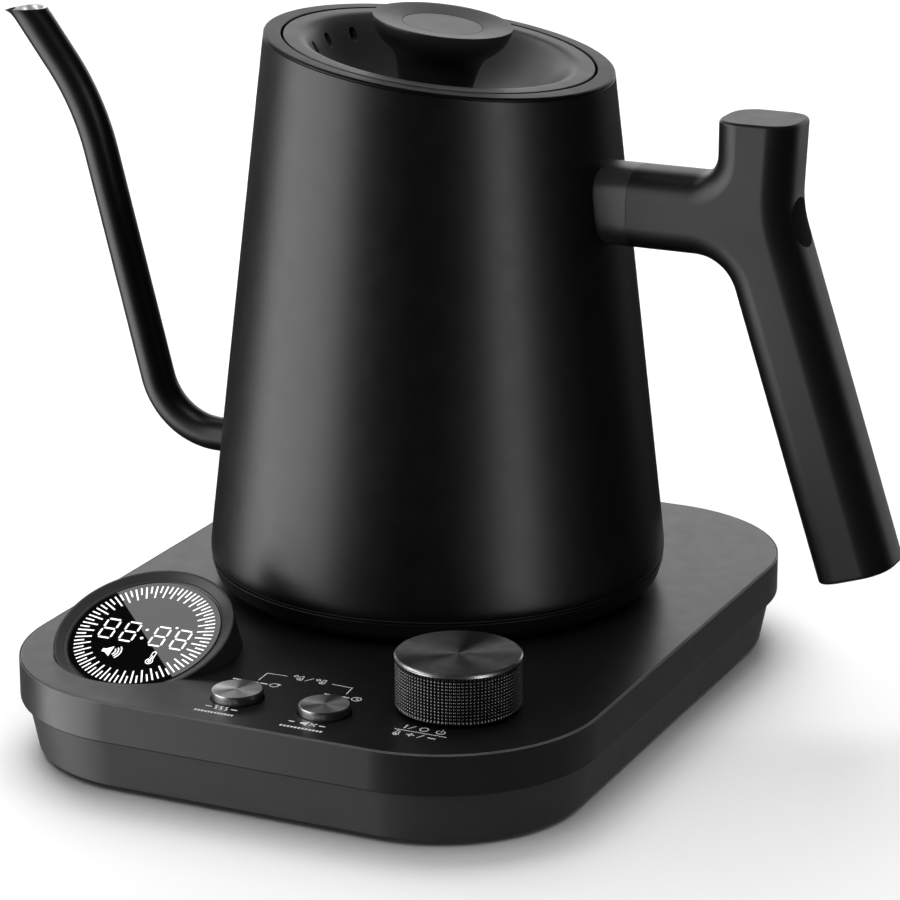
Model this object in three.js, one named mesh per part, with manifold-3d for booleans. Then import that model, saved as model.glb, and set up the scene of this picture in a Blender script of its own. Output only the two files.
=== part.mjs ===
// Gooseneck electric kettle on its control base. Millimetres, +Z up.
// The origin lies on the table: X on the kettle's vertical axis, Y in the middle of the base's depth.
// -X is the spout's side, +X the handle's side, and -Y the side of the display, buttons and knob.
import * as THREE from 'three';
import { mergeVertices } from 'three/addons/utils/BufferGeometryUtils.js';
import Module from 'manifold-3d';

const wasm = await Module();
wasm.setup();

// ---- Driving dimensions -------------------------------------------------------------------------

const GAP = 0.3; // clearance between neighbouring pieces

// Base: a slab on a plinth, both rounded rectangles
const BASE_WIDTH = 160.8;
const BASE_DEPTH = 210.4;
const BASE_CORNER = 43.3;
const BASE_X = 2; // middle of the base, seen from the kettle's axis
const FOOT_PROUD = 1.9;
const SLAB_BOTTOM = 15.5;
const SLAB_TOP = 26.5;
const SLAB_WALL = 2.2;
const SLAB_INSIDE = SLAB_TOP - SLAB_WALL;
const SLAB_LIP_WALL = 4.2; // the slab's wall is thicker where it stands on the plinth
const SLAB_LIP_HEIGHT = 1.4;
const PLINTH_INSET_TOP = 1.9;
const PLINTH_INSET_LOW = 4.5;
const PLINTH_WALL = 2;
const PLINTH_FLOOR = FOOT_PROUD + 2.2;

// Kettle, placed on the slab; its own group measures heights from the slab's top
const KETTLE_Y = 19.65;
const BODY_RADIUS = 63; // widest, at BODY_WIDEST
const BODY_WIDEST = 9.3;
const BODY_TAPER = 0.117; // radius lost per height
const BODY_SEAM = 7.3; // top of the bottom cover's band
const BODY_WALL = 1;
const PLATE_HEIGHT = 16;
const RIM_TILT = THREE.MathUtils.degToRad(7.51);
const RIM_X = 0.7;
const RIM_HEIGHT = 147.7;
const NECK_RADIUS = 42.4;

// Lid, in a frame whose +Z is square to the slanted rim
const LID_RADIUS = 42;
const BOWL_DEPTH = 16.5;
const KNOB_RADIUS = 18.8;
const KNOB_TOP = 7.9;
const LID_SHEET = 1.6;

// Spout
const SPOUT_RADIUS = 4.8;
const SPOUT_BORE = 4.1;
const SPOUT_ROOT_Z = 31.7;
const SPOUT_LEAN = THREE.MathUtils.degToRad(14.5);
const SPOUT_TIP_LEAN = THREE.MathUtils.degToRad(36.7);
const SPOUT_TIP_Z = 149.2;

// Handle: a rounded square section in the plane y = 0
const HANDLE_HALF = 10.65;
const HANDLE_EDGE = 6;
const ARM_Z = 111;
const ARM_START_X = 58.5;
const GRIP_X = 92.4;
const GRIP_LEAN = Math.atan(0.3306);
const GRIP_LENGTH = 97.1;
const STUB_TOP_Z = 137.3;
const STUB_LEAN = THREE.MathUtils.degToRad(2.6); // of the stub's outer face
const PLUG_RADIUS = 6.2;

// Controls on the slab, measured from the origin
const DISPLAY_CENTRE = [-43.6, -68.25, 31.1];
const DISPLAY_TILT = THREE.MathUtils.degToRad(22.7);
const GLASS_RADIUS = 20.3;
const BEZEL_RADIUS = 24.1;
const DIAL_CENTRE = [47.6, -69.85];
const DIAL_RADIUS = 16.2;
const DIAL_TOP = SLAB_TOP + 14.5;
const DIAL_BOTTOM = SLAB_TOP + 0.9;
const BUTTON_RADIUS = 6.6;
const BUTTON_TOP = SLAB_TOP + 2.4;
const BUTTONS = { hold: [-5.7, -87.65], mute: [19, -87.65] };
const BOARD_TOP = 16.6;

// ---- Materials ----------------------------------------------------------------------------------

const material = (color, roughness, metalness) => (
  new THREE.MeshStandardMaterial({ color, roughness, metalness })
);
const PAINTED_STEEL = material(0x101010, 0.42, 0.35);
const HANDLE_PLASTIC = material(0x131313, 0.5, 0);
const COLLAR_PLASTIC = material(0x1c1c1c, 0.45, 0);
const LID_PLASTIC = material(0x151515, 0.48, 0);
const BASE_PLASTIC = material(0x232324, 0.5, 0);
const PLINTH_PLASTIC = material(0x161617, 0.55, 0);
const INNER_PLASTIC = material(0x2a2a2a, 0.6, 0);
const GLASS = material(0x050505, 0.08, 0);
const GUNMETAL = material(0x3a3a3c, 0.3, 1);
const BRIGHT_STEEL = material(0xb9bcc0, 0.3, 1);
const BRASS = material(0xc8a050, 0.35, 1);
const RUBBER = material(0x1a1a1a, 0.85, 0);
const SILICONE = material(0x8d8d8d, 0.7, 0);
const CIRCUIT = material(0x1d5a35, 0.6, 0);
const RELAY_BLUE = material(0x2a4d9b, 0.5, 0);
const WHITE_PLASTIC = material(0xdcdcd6, 0.55, 0);

// ---- Solids -------------------------------------------------------------------------------------

// A closed three.js geometry becomes a manifold solid with its faces pointing out.
function solid(geometry) {
  const bare = geometry.index ? geometry.toNonIndexed() : geometry.clone();
  bare.deleteAttribute('normal');
  bare.deleteAttribute('uv');
  const merged = mergeVertices(bare, 1e-4);
  const place = merged.getAttribute('position');
  const corners = merged.index.array;
  const triangles = [];
  const [a, b, c] = [new THREE.Vector3(), new THREE.Vector3(), new THREE.Vector3()];
  let volume = 0;
  for (let i = 0; i < corners.length; i += 3) {
    const [p, q, r] = [corners[i], corners[i + 1], corners[i + 2]];
    if (p === q || q === r || r === p) continue;
    triangles.push(p, q, r);
    a.fromBufferAttribute(place, p);
    b.fromBufferAttribute(place, q);
    c.fromBufferAttribute(place, r);
    volume += a.dot(b.cross(c));
  }
  if (volume < 0) triangles.reverse();
  const vertProperties = new Float32Array(place.array);
  const triVerts = new Uint32Array(triangles);
  return new wasm.Manifold(new wasm.Mesh({ numProp: 3, vertProperties, triVerts }));
}

const all = (first, ...rest) => rest.reduce((sum, next) => sum.add(next), first);

const parts = new THREE.Group();
const kettle = new THREE.Group();
kettle.position.set(0, KETTLE_Y, SLAB_TOP);
const lid = new THREE.Group();
lid.position.set(RIM_X, 0, RIM_HEIGHT);
lid.rotation.y = RIM_TILT;
const display = new THREE.Group();
display.position.set(...DISPLAY_CENTRE);
display.rotation.x = DISPLAY_TILT;
const group = new THREE.Group();
kettle.add(lid);
parts.add(kettle, display);
group.add(parts);

// One named piece, from a manifold solid, hung in its group.
function piece(name, shape, finish, parent = parts) {
  const { vertProperties, triVerts } = shape.getMesh();
  const geometry = new THREE.BufferGeometry();
  geometry.setAttribute('position', new THREE.BufferAttribute(new Float32Array(vertProperties), 3));
  geometry.setIndex(new THREE.BufferAttribute(new Uint32Array(triVerts), 1));
  geometry.computeVertexNormals();
  const mesh = new THREE.Mesh(geometry, finish);
  mesh.name = name;
  parent.add(mesh);
  return mesh;
}

// Turned about Z from [radius, height] corners; a profile off the axis closes on itself.
function turned(profile, sides = 28) {
  const points = profile.map(([r, z]) => new THREE.Vector2(r, z));
  const onAxis = profile[0][0] === 0 && profile.at(-1)[0] === 0;
  if (!onAxis) points.push(points[0].clone());
  return solid(new THREE.LatheGeometry(points, sides).rotateX(Math.PI / 2));
}

function rod(radius, low, high, [x, y] = [0, 0], sides = 12) {
  const geometry = new THREE.CylinderGeometry(radius, radius, high - low, sides);
  return solid(geometry.rotateX(Math.PI / 2).translate(x, y, (low + high) / 2));
}

function ring(outer, inner, low, high, centre = [0, 0], sides = 16) {
  return rod(outer, low, high, centre, sides).subtract(rod(inner, low - 1, high + 1, centre, sides));
}

function block([x0, y0, z0], [x1, y1, z1]) {
  const geometry = new THREE.BoxGeometry(x1 - x0, y1 - y0, z1 - z0);
  return solid(geometry.translate((x0 + x1) / 2, (y0 + y1) / 2, (z0 + z1) / 2));
}

// The base's outline, drawn in by an inset: a rounded rectangle about the base's middle.
function outline(inset, cornerSteps = 5) {
  const radius = BASE_CORNER - inset;
  const centres = [[1, 1], [-1, 1], [-1, -1], [1, -1]];
  const points = [];
  centres.forEach(([sx, sy], quarter) => {
    for (let i = 0; i <= cornerSteps; i++) {
      const angle = (quarter + i / cornerSteps) * Math.PI / 2;
      points.push([
        BASE_X + sx * (BASE_WIDTH / 2 - BASE_CORNER) + radius * Math.cos(angle),
        sy * (BASE_DEPTH / 2 - BASE_CORNER) + radius * Math.sin(angle),
      ]);
    }
  });
  return points;
}

// A solid stacked from the base's outline at several [height, inset] levels.
function stacked(levels) {
  const loops = levels.map(([z, inset]) => outline(inset).map(([x, y]) => new THREE.Vector3(x, y, z)));
  const count = loops[0].length;
  const positions = [];
  const face = (...corners) => corners.forEach((p) => positions.push(p.x, p.y, p.z));
  for (let level = 0; level + 1 < loops.length; level++) {
    for (let i = 0; i < count; i++) {
      const j = (i + 1) % count;
      face(loops[level][i], loops[level][j], loops[level + 1][j]);
      face(loops[level][i], loops[level + 1][j], loops[level + 1][i]);
    }
  }
  const [bottom, top] = [loops[0], loops.at(-1)];
  for (const [i, j, k] of THREE.ShapeUtils.triangulateShape(bottom, [])) {
    face(bottom[k], bottom[j], bottom[i]);
    face(top[i], top[j], top[k]);
  }
  const geometry = new THREE.BufferGeometry();
  geometry.setAttribute('position', new THREE.Float32BufferAttribute(positions, 3));
  return solid(geometry);
}

// A round or flat section swept along a curve.
function swept(curve, section, steps) {
  return solid(new THREE.ExtrudeGeometry(section, { extrudePath: curve, steps }));
}

function circle(radius, sides) {
  const shape = new THREE.Shape();
  for (let i = 0; i < sides; i++) {
    const angle = i / sides * 2 * Math.PI;
    const [x, y] = [radius * Math.cos(angle), radius * Math.sin(angle)];
    if (i === 0) shape.moveTo(x, y);
    else shape.lineTo(x, y);
  }
  shape.closePath();
  return shape;
}

// The arc that rounds a corner between two straight runs, as a function of 0 to 1 along it.
function fillet(before, at, after, radius) {
  const back = before.clone().sub(at).normalize();
  const on = after.clone().sub(at).normalize();
  const half = Math.acos(back.dot(on)) / 2;
  const sweep = Math.PI - 2 * half;
  const start = at.clone().addScaledVector(back, radius / Math.tan(half));
  const centre = at.clone().addScaledVector(back.clone().add(on).normalize(), radius / Math.sin(half));
  const u = start.clone().sub(centre);
  const v = at.clone().sub(start).normalize().multiplyScalar(radius);
  return (t) => (
    centre.clone().addScaledVector(u, Math.cos(t * sweep)).addScaledVector(v, Math.sin(t * sweep))
  );
}

// Where the line through p along u meets the line through q along v.
const meet = (p, u, q, v) => p.clone().addScaledVector(u, q.clone().sub(p).cross(v) / u.cross(v));

// Moves a solid made in the display's or the lid's tilted frame to the frame that holds it.
display.updateMatrix();
const fromDisplay = (shape) => shape.transform([...display.matrix.elements]);
const intoDisplay = (shape) => shape.transform([...display.matrix.clone().invert().elements]);
lid.updateMatrix();
const fromLid = (shape) => shape.transform([...lid.matrix.elements]);

// ---- Base housings ------------------------------------------------------------------------------

const SCREW_SPOTS = [[-66, -36], [66, -36], [-66, 50], [66, 50]].map(([x, y]) => [BASE_X + x, y]);
const FOOT_SPOTS = [[-48, -84], [48, -84], [-48, 84], [48, 84]].map(([x, y]) => [BASE_X + x, y]);
const FOOT_NAMES = ['foot_front_left', 'foot_front_right', 'foot_rear_left', 'foot_rear_right'];
const FOOT_RADIUS = 8;
const FOOT_SEAT = 1; // depth of the pocket that holds a foot
const FOOT_TOP = FOOT_PROUD + FOOT_SEAT - 0.2;
const BOSS_FOOT = 7;
const SCREW_CLEAR = 1.8;
const SCREW_SEAT = 3.2;
const SOCKET_FLANGE = 22;
const SOCKET_BOSS = 16.5;
const SOCKET_RISE = 7;

const slabOutside = stacked([
  [SLAB_BOTTOM, 0.5],
  [SLAB_BOTTOM + 0.5, 0],
  [SLAB_TOP - 0.5, 0],
  [SLAB_TOP, 0.5],
]);
const slabInside = stacked([
  [SLAB_BOTTOM - 1, SLAB_LIP_WALL],
  [SLAB_BOTTOM + SLAB_LIP_HEIGHT, SLAB_LIP_WALL],
  [SLAB_BOTTOM + 2 * SLAB_LIP_HEIGHT, SLAB_WALL],
  [SLAB_INSIDE, SLAB_WALL],
]);
const bosses = SCREW_SPOTS.map((spot) => (
  rod(3.6, BOSS_FOOT, SLAB_INSIDE + 0.5, spot).subtract(rod(SCREW_CLEAR, BOSS_FOOT - 1, 20, spot))
));
const boardPosts = [[-2, -66], [33, -60]].map((spot) => (
  rod(2.4, BOARD_TOP + GAP, SLAB_INSIDE + 0.5, spot, 8)
));
const displayHole = fromDisplay(rod(BEZEL_RADIUS + GAP, -30, 30, [0, 0], 32));
const socketHole = rod(SOCKET_BOSS + GAP, SLAB_INSIDE - 1, SLAB_TOP + 1, [0, KETTLE_Y], 28);
const buttonHoles = Object.values(BUTTONS).map((spot) => (
  rod(BUTTON_RADIUS + GAP, SLAB_INSIDE - 1, SLAB_TOP + 1, spot, 16)
));
const dialHole = rod(3.9, SLAB_INSIDE - 1, SLAB_TOP + 1, DIAL_CENTRE);
const cuts = all(displayHole, socketHole, dialHole, ...buttonHoles);
const slab = all(slabOutside.subtract(slabInside), ...bosses, ...boardPosts);
piece('base_top_cover', slab.subtract(cuts), BASE_PLASTIC);

const PLINTH_TOP = SLAB_BOTTOM - GAP;
const INLET_X = BASE_X + 24;
const INLET_Z = 8.8;
const INLET_RADIUS = 4.8;
const plinthOutside = stacked([
  [FOOT_PROUD, PLINTH_INSET_LOW + 0.5],
  [FOOT_PROUD + 0.5, PLINTH_INSET_LOW],
  [PLINTH_TOP, PLINTH_INSET_TOP],
]);
const plinthInside = stacked([
  [PLINTH_FLOOR, PLINTH_INSET_LOW + PLINTH_WALL],
  [PLINTH_TOP + 1, PLINTH_INSET_TOP + PLINTH_WALL],
]);
const screwPads = SCREW_SPOTS.map((spot) => rod(5.5, PLINTH_FLOOR - 0.5, BOSS_FOOT - GAP, spot));
const POWER_BOARD = { low: [-43, 50, 6], high: [47, 90, 7.6] };
const boardFeet = [[-38, 55], [42, 55], [-38, 78], [42, 78]];
const standOffs = boardFeet.map((spot) => rod(3, PLINTH_FLOOR - 0.5, POWER_BOARD.low[2] - GAP, spot, 8));
const footPockets = FOOT_SPOTS.map((spot) => rod(FOOT_RADIUS + 0.2, 0, FOOT_PROUD + FOOT_SEAT, spot, 12));
const screwSeats = SCREW_SPOTS.map((spot) => rod(SCREW_SEAT, 0, 4, spot));
const screwHoles = SCREW_SPOTS.map((spot) => rod(SCREW_CLEAR, 3, BOSS_FOOT + 1, spot, 8));
const inletHole = rod(INLET_RADIUS, -20, 20, [0, 0], 16)
  .rotate([90, 0, 0]).translate([INLET_X, BASE_DEPTH / 2 - PLINTH_INSET_LOW, INLET_Z]);
const tray = all(plinthOutside.subtract(plinthInside), ...screwPads, ...standOffs);
const trayCuts = all(inletHole, ...footPockets, ...screwSeats, ...screwHoles);
piece('base_lower_tray', tray.subtract(trayCuts), PLINTH_PLASTIC);

FOOT_SPOTS.forEach((spot, i) => {
  const footProfile = [
    [0, 0], [FOOT_RADIUS - 0.8, 0], [FOOT_RADIUS, 0.8], [FOOT_RADIUS, FOOT_TOP], [0, FOOT_TOP],
  ];
  piece(FOOT_NAMES[i], turned(footProfile, 12).translate([...spot, 0]), RUBBER);
});

const screw = (head, thread, low, neck, high, spot) => (
  all(rod(head, low, neck, spot, 10), rod(thread, neck - 0.2, high, spot, 6))
);
SCREW_SPOTS.forEach((spot, i) => {
  piece(`base_screw_${i + 1}`, screw(2.8, 1.5, 2, 3.8, 18, spot), BRIGHT_STEEL);
});

// The cord's way in: a grommet square to the sloping rear wall of the plinth
const grommetProfile = [
  [3.5, 1.6], [5, 1.6], [5.3, 1.3], [5.3, GAP], [4.3, GAP],
  [4.3, -PLINTH_WALL - 1], [5, -PLINTH_WALL - 1], [5, -PLINTH_WALL - 2.1], [3.5, -PLINTH_WALL - 2.1],
];
const plinthSlope = Math.atan((PLINTH_INSET_LOW - PLINTH_INSET_TOP) / (PLINTH_TOP - FOOT_PROUD));
const inletInset = PLINTH_INSET_LOW - (INLET_Z - FOOT_PROUD) * Math.tan(plinthSlope);
const grommet = piece('cord_grommet', turned(grommetProfile, 16), RUBBER);
grommet.rotation.x = -Math.PI / 2 - plinthSlope;
grommet.position.set(INLET_X, BASE_DEPTH / 2 - inletInset, INLET_Z);

// ---- 360-degree power connector -----------------------------------------------------------------

const SOCKET_TOP = SLAB_TOP + SOCKET_RISE;
const PIN_BORE = 3.1;
const SLOT = [8.2, 10.8];
const socketProfile = [
  [0, 14.5], [SOCKET_FLANGE, 14.5], [SOCKET_FLANGE, SLAB_INSIDE - GAP], [SOCKET_BOSS, SLAB_INSIDE - GAP],
  [SOCKET_BOSS, SOCKET_TOP - 0.8], [SOCKET_BOSS - 0.8, SOCKET_TOP],
  [SLOT[1], SOCKET_TOP], [SLOT[1], 22], [SLOT[0], 22], [SLOT[0], SOCKET_TOP],
  [PIN_BORE, SOCKET_TOP], [PIN_BORE, 20], [0, 20],
];
const onKettleAxis = (shape) => shape.translate([0, KETTLE_Y, 0]);
piece('power_socket', onKettleAxis(turned(socketProfile)), INNER_PLASTIC);
piece('socket_sleeve', onKettleAxis(ring(2.8, 2.4, 20.3, 26, [0, 0], 20)), BRASS);
piece('socket_track', onKettleAxis(ring(10.5, 8.5, 22.3, 23.3)), BRASS);

const plugProfile = [
  [0, 8.6], [2.6, 8.6], [2.6, 8.1], [17.2, 8.1], [17.2, 1], [19.2, 1], [19.2, 9.6],
  [20.6, 9.6], [20.6, 11.8], [0, 11.8],
];
piece('plug_connector', turned(plugProfile), INNER_PLASTIC, kettle);
piece('plug_pin', turned([[0, -1.6], [1.4, -1.6], [2.2, -0.6], [2.2, 8.3], [0, 8.3]], 16), BRASS, kettle);
piece('plug_ring', ring(9.9, 9.1, -2, 7.8), BRASS, kettle);

// ---- Electronics in the base --------------------------------------------------------------------

piece('power_board', block(POWER_BOARD.low, POWER_BOARD.high), CIRCUIT);
piece('power_relay', block([-38, 60, 7.9], [-19, 76, 22.5]), RELAY_BLUE);
piece('transformer', block([-8, 56, 7.9], [16, 76, 21.5]), INNER_PLASTIC);

const controlBoard = block([-20, -92, BOARD_TOP - 1.6], [56, -54, BOARD_TOP]);
piece('control_board', controlBoard, CIRCUIT);
const BUZZER_SPOT = [16, -68];
const buzzerCase = ring(5.5, 1, BOARD_TOP + 0.1, BOARD_TOP + 6, BUZZER_SPOT, 20);
const buzzerFloor = rod(5.5, BOARD_TOP + 0.1, BOARD_TOP + 1.5, BUZZER_SPOT, 20);
piece('buzzer', buzzerCase.add(buzzerFloor), INNER_PLASTIC);

// ---- Display, made in its tilted frame with the glass's face at height 0 -------------------------

const BEZEL_TOP = 1.3;
const BEZEL_DEPTH = 24;
const BEZEL_FOOT_Z = 20; // level, so that the raised back of the ring still reaches down into the cover
const BEZEL_CHAMFER = 1.2;
const GLASS_THICK = 1.5;
const bezelRing = turned([
  [GLASS_RADIUS + GAP, -BEZEL_DEPTH], [BEZEL_RADIUS, -BEZEL_DEPTH], [BEZEL_RADIUS, BEZEL_TOP - BEZEL_CHAMFER],
  [BEZEL_RADIUS - BEZEL_CHAMFER, BEZEL_TOP], [GLASS_RADIUS + GAP, BEZEL_TOP],
], 32);
const belowBezel = intoDisplay(block([-120, -120, -20], [60, 60, BEZEL_FOOT_Z]));
piece('display_bezel', bezelRing.subtract(belowBezel), BASE_PLASTIC, display);
piece('display_glass', turned([
  [0, -GLASS_THICK], [GLASS_RADIUS, -GLASS_THICK], [GLASS_RADIUS, -0.3], [GLASS_RADIUS - 0.3, 0], [0, 0],
], 32), GLASS, display);
piece('display_module', rod(19.6, -7, -GLASS_THICK - GAP, [0, 0], 16), WHITE_PLASTIC, display);

// ---- Push buttons -------------------------------------------------------------------------------

const CAP_FOOT = 22.5;
const capProfile = [
  [0, BUTTON_TOP], [BUTTON_RADIUS - 0.6, BUTTON_TOP], [BUTTON_RADIUS, BUTTON_TOP - 0.6],
  [BUTTON_RADIUS, CAP_FOOT], [5.2, CAP_FOOT], [5.2, BUTTON_TOP - 1.6], [0, BUTTON_TOP - 1.6],
];
const plungerProfile = [
  [0, BUTTON_TOP - 1.9], [4.9, BUTTON_TOP - 1.9], [4.9, CAP_FOOT - GAP], [8, CAP_FOOT - GAP],
  [8, CAP_FOOT - 1.2], [0, CAP_FOOT - 1.2],
];
for (const [name, spot] of Object.entries(BUTTONS)) {
  const [x, y] = spot;
  piece(`${name}_button`, turned(capProfile, 16).translate([...spot, 0]), GUNMETAL);
  piece(`${name}_plunger`, turned(plungerProfile, 12).translate([...spot, 0]), INNER_PLASTIC);
  const housing = block([x - 3, y - 3, BOARD_TOP + 0.1], [x + 3, y + 3, 19.6]);
  piece(`${name}_switch`, housing.add(rod(1.7, 19, 20.4, spot, 12)), INNER_PLASTIC);
}

// ---- Turn-and-push dial -------------------------------------------------------------------------

const SHAFT = 2.4;
const BUSH = 3.5;
const BUSH_TOP = 29; // stays under the dial's core when the dial is pushed
const ENCODER_FLOOR = BOARD_TOP + 1.4;
const atDial = (shape) => shape.translate([...DIAL_CENTRE, 0]);
const encoderCase = block([-6.5, -6.5, BOARD_TOP + 0.1], [6.5, 6.5, 23.6]);
const encoderCavity = rod(5.6, ENCODER_FLOOR, 21, [0, 0], 16).add(rod(SHAFT + GAP, 20, 40, [0, 0], 16));
const encoder = encoderCase.add(rod(BUSH, 23, BUSH_TOP, [0, 0], 16)).subtract(encoderCavity);
piece('encoder_body', atDial(encoder), BRIGHT_STEEL);
piece('encoder_nut', atDial(rod(5.4, SLAB_TOP + 0.1, SLAB_TOP + 2.1, [0, 0], 6)
  .subtract(rod(BUSH + GAP, 20, 40, [0, 0], 16))), BRIGHT_STEEL);
piece('encoder_rotor', atDial(ring(5.2, SHAFT + GAP, ENCODER_FLOOR + 0.4, 20.4, [0, 0], 16)), BRASS);
piece('encoder_shaft', atDial(rod(SHAFT, ENCODER_FLOOR + 1.1, 37, [0, 0], 16)), BRIGHT_STEEL);
const DIAL_WALL = 1.6;
const CORE_RADIUS = DIAL_RADIUS - DIAL_WALL - 0.7;
piece('dial_shell', atDial(turned([
  [0, DIAL_TOP], [DIAL_RADIUS - 0.9, DIAL_TOP], [DIAL_RADIUS, DIAL_TOP - 0.9],
  [DIAL_RADIUS, DIAL_BOTTOM + 0.6],
  [DIAL_RADIUS - 0.8, DIAL_BOTTOM], [DIAL_RADIUS - DIAL_WALL - 0.4, DIAL_BOTTOM],
  [DIAL_RADIUS - DIAL_WALL - 0.4, DIAL_TOP - 2], [0, DIAL_TOP - 2],
], 28)), GUNMETAL);
piece('dial_core', atDial(turned([
  [0, DIAL_TOP - 2.3], [CORE_RADIUS, DIAL_TOP - 2.3], [CORE_RADIUS, 29.9],
  [SHAFT + GAP, 29.9], [SHAFT + GAP, 37.3], [0, 37.3],
], 20)), INNER_PLASTIC);

// ---- Kettle body --------------------------------------------------------------------------------

const bodyRadius = (z) => BODY_RADIUS - BODY_TAPER * (z - BODY_WIDEST);
const TALL = 170; // above the rim everywhere
const aboveRim = fromLid(block([-90, -90, 0], [90, 90, 60]));
const bodyProfile = [
  [bodyRadius(BODY_WIDEST) - 0.3, BODY_SEAM + GAP], [BODY_RADIUS, BODY_WIDEST], [bodyRadius(TALL), TALL],
  [bodyRadius(TALL) - BODY_WALL, TALL], [BODY_RADIUS - BODY_WALL, BODY_WIDEST],
  [bodyRadius(BODY_WIDEST) - 0.3 - BODY_WALL, BODY_SEAM + GAP],
];
const inletBore = rod(SPOUT_RADIUS + GAP, 40, 70, [0, 0], 16)
  .rotate([0, -90, 0]).translate([0, 0, SPOUT_ROOT_Z]);
const bracketHole = block([40, -6.3, ARM_Z - 6.3], [60, 6.3, ARM_Z + 6.3]);
const shell = turned(bodyProfile, 64).subtract(all(aboveRim, inletBore, bracketHole));
piece('kettle_body', shell, PAINTED_STEEL, kettle);

// Seen in the lid's frame: the ring that finishes the rim and guides the lid
const neckBlank = turned([
  [NECK_RADIUS, 0], [46.6, 0], [46.6, -2.2], [44, -2.2], [44, -13], [NECK_RADIUS, -13],
], 40);
const insideBody = turned([
  [0, 100], [bodyRadius(100) - BODY_WALL - GAP, 100], [bodyRadius(TALL) - BODY_WALL - GAP, TALL], [0, TALL],
], 40);
piece('neck_ring', fromLid(neckBlank).intersect(insideBody), PAINTED_STEEL, kettle);

const COVER_FLOOR = 2.3;
const BOTTOM_SCREWS = [90, 210, 330].map((degrees) => {
  const angle = THREE.MathUtils.degToRad(degrees);
  return [50 * Math.cos(angle), 50 * Math.sin(angle)];
});
const coverProfile = [
  [20.2, GAP], [57, GAP], [59.4, 1.1], [61.3, 3], [62.3, 5.2], [62.6, BODY_SEAM],
  [61.3, BODY_SEAM], [61.3, 11.5], [59.8, 11.5], [59.8, COVER_FLOOR], [20.2, COVER_FLOOR],
];
const coverPads = BOTTOM_SCREWS.map((spot) => rod(5, COVER_FLOOR - 0.5, 5, spot));
const coverSeats = BOTTOM_SCREWS.map((spot) => rod(3.2, -1, 2.4, spot));
const coverHoles = BOTTOM_SCREWS.map((spot) => rod(SCREW_CLEAR, 1, 8, spot, 8));
const bottomCover = all(turned(coverProfile, 40), ...coverPads).subtract(all(...coverSeats, ...coverHoles));
piece('bottom_cover', bottomCover, INNER_PLASTIC, kettle);

const plateRim = bodyRadius(PLATE_HEIGHT) - BODY_WALL - GAP - 0.3;
const plateProfile = [
  [0, PLATE_HEIGHT], [plateRim - 1.2, PLATE_HEIGHT], [plateRim - 1.2, 12.4], [plateRim, 12.4],
  [plateRim, PLATE_HEIGHT + 1.2], [0, PLATE_HEIGHT + 1.2],
];
const SENSOR_SPOT = [20, 20];
const plateStuds = BOTTOM_SCREWS.map((spot) => (
  rod(3.5, 6, PLATE_HEIGHT + 0.5, spot, 12).subtract(rod(SCREW_CLEAR, 5, 15, spot, 8))
));
const sensorHole = rod(3.3, 10, 22, SENSOR_SPOT, 16);
const plate = all(turned(plateProfile, 32), ...plateStuds).subtract(sensorHole);
piece('heating_plate', plate, BRIGHT_STEEL, kettle);
BOTTOM_SCREWS.forEach((spot, i) => {
  const bottomScrew = screw(2.8, 1.5, 0.5, 2.2, 14, spot);
  piece(`bottom_screw_${i + 1}`, bottomScrew, BRIGHT_STEEL, kettle);
});
const sensorStem = rod(3, 9, PLATE_HEIGHT + 4, SENSOR_SPOT, 16);
const sensorFlange = rod(4.5, 12.5, PLATE_HEIGHT - GAP, SENSOR_SPOT, 16);
piece('temperature_sensor', sensorStem.add(sensorFlange), BRIGHT_STEEL, kettle);
piece('thermal_cutout', rod(6, 12.2, PLATE_HEIGHT - GAP, [0, -28], 20), INNER_PLASTIC, kettle);

class ElementPath extends THREE.Curve {
  getPoint(t, target = new THREE.Vector3()) {
    const angle = THREE.MathUtils.degToRad(20 + 320 * t);
    return target.set(38 * Math.cos(angle), 38 * Math.sin(angle), PLATE_HEIGHT - GAP - 3.3);
  }
}
piece('heating_element', swept(new ElementPath(), circle(3.2, 6), 20), BRIGHT_STEEL, kettle);

// ---- Spout --------------------------------------------------------------------------------------

// The centreline turns through rounded corners; each corner is where two straight runs would meet.
const inPlane = (x, z) => new THREE.Vector3(x, 0, z);
const SPOUT_NECK_Z = 123.75;
const TIP_OVERRUN = 8; // the tube is made longer, then cut level at the tip
const spoutEndZ = SPOUT_TIP_Z + TIP_OVERRUN;
const kneeX = -83.9;
const neckX = kneeX - (SPOUT_NECK_Z - SPOUT_ROOT_Z) * Math.tan(SPOUT_LEAN);
const endX = neckX - (spoutEndZ - SPOUT_NECK_Z) * Math.tan(SPOUT_TIP_LEAN);
const SPOUT_KNEE = inPlane(kneeX, SPOUT_ROOT_Z);
const SPOUT_NECK = inPlane(neckX, SPOUT_NECK_Z);
const SPOUT_END = inPlane(endX, spoutEndZ);
const SPOUT_BENDS = [20, 70];
const SPOUT_STEPS = 26;

function roundedRoute(corners, radii) {
  const path = new THREE.CurvePath();
  let from = corners[0];
  radii.forEach((radius, i) => {
    const at = fillet(...corners.slice(i, i + 3), radius);
    const arc = new THREE.Curve();
    arc.getPoint = (t, target = new THREE.Vector3()) => target.copy(at(t));
    path.add(new THREE.LineCurve3(from, at(0)));
    path.add(arc);
    from = at(1);
  });
  path.add(new THREE.LineCurve3(from, corners.at(-1)));
  return path;
}

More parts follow.
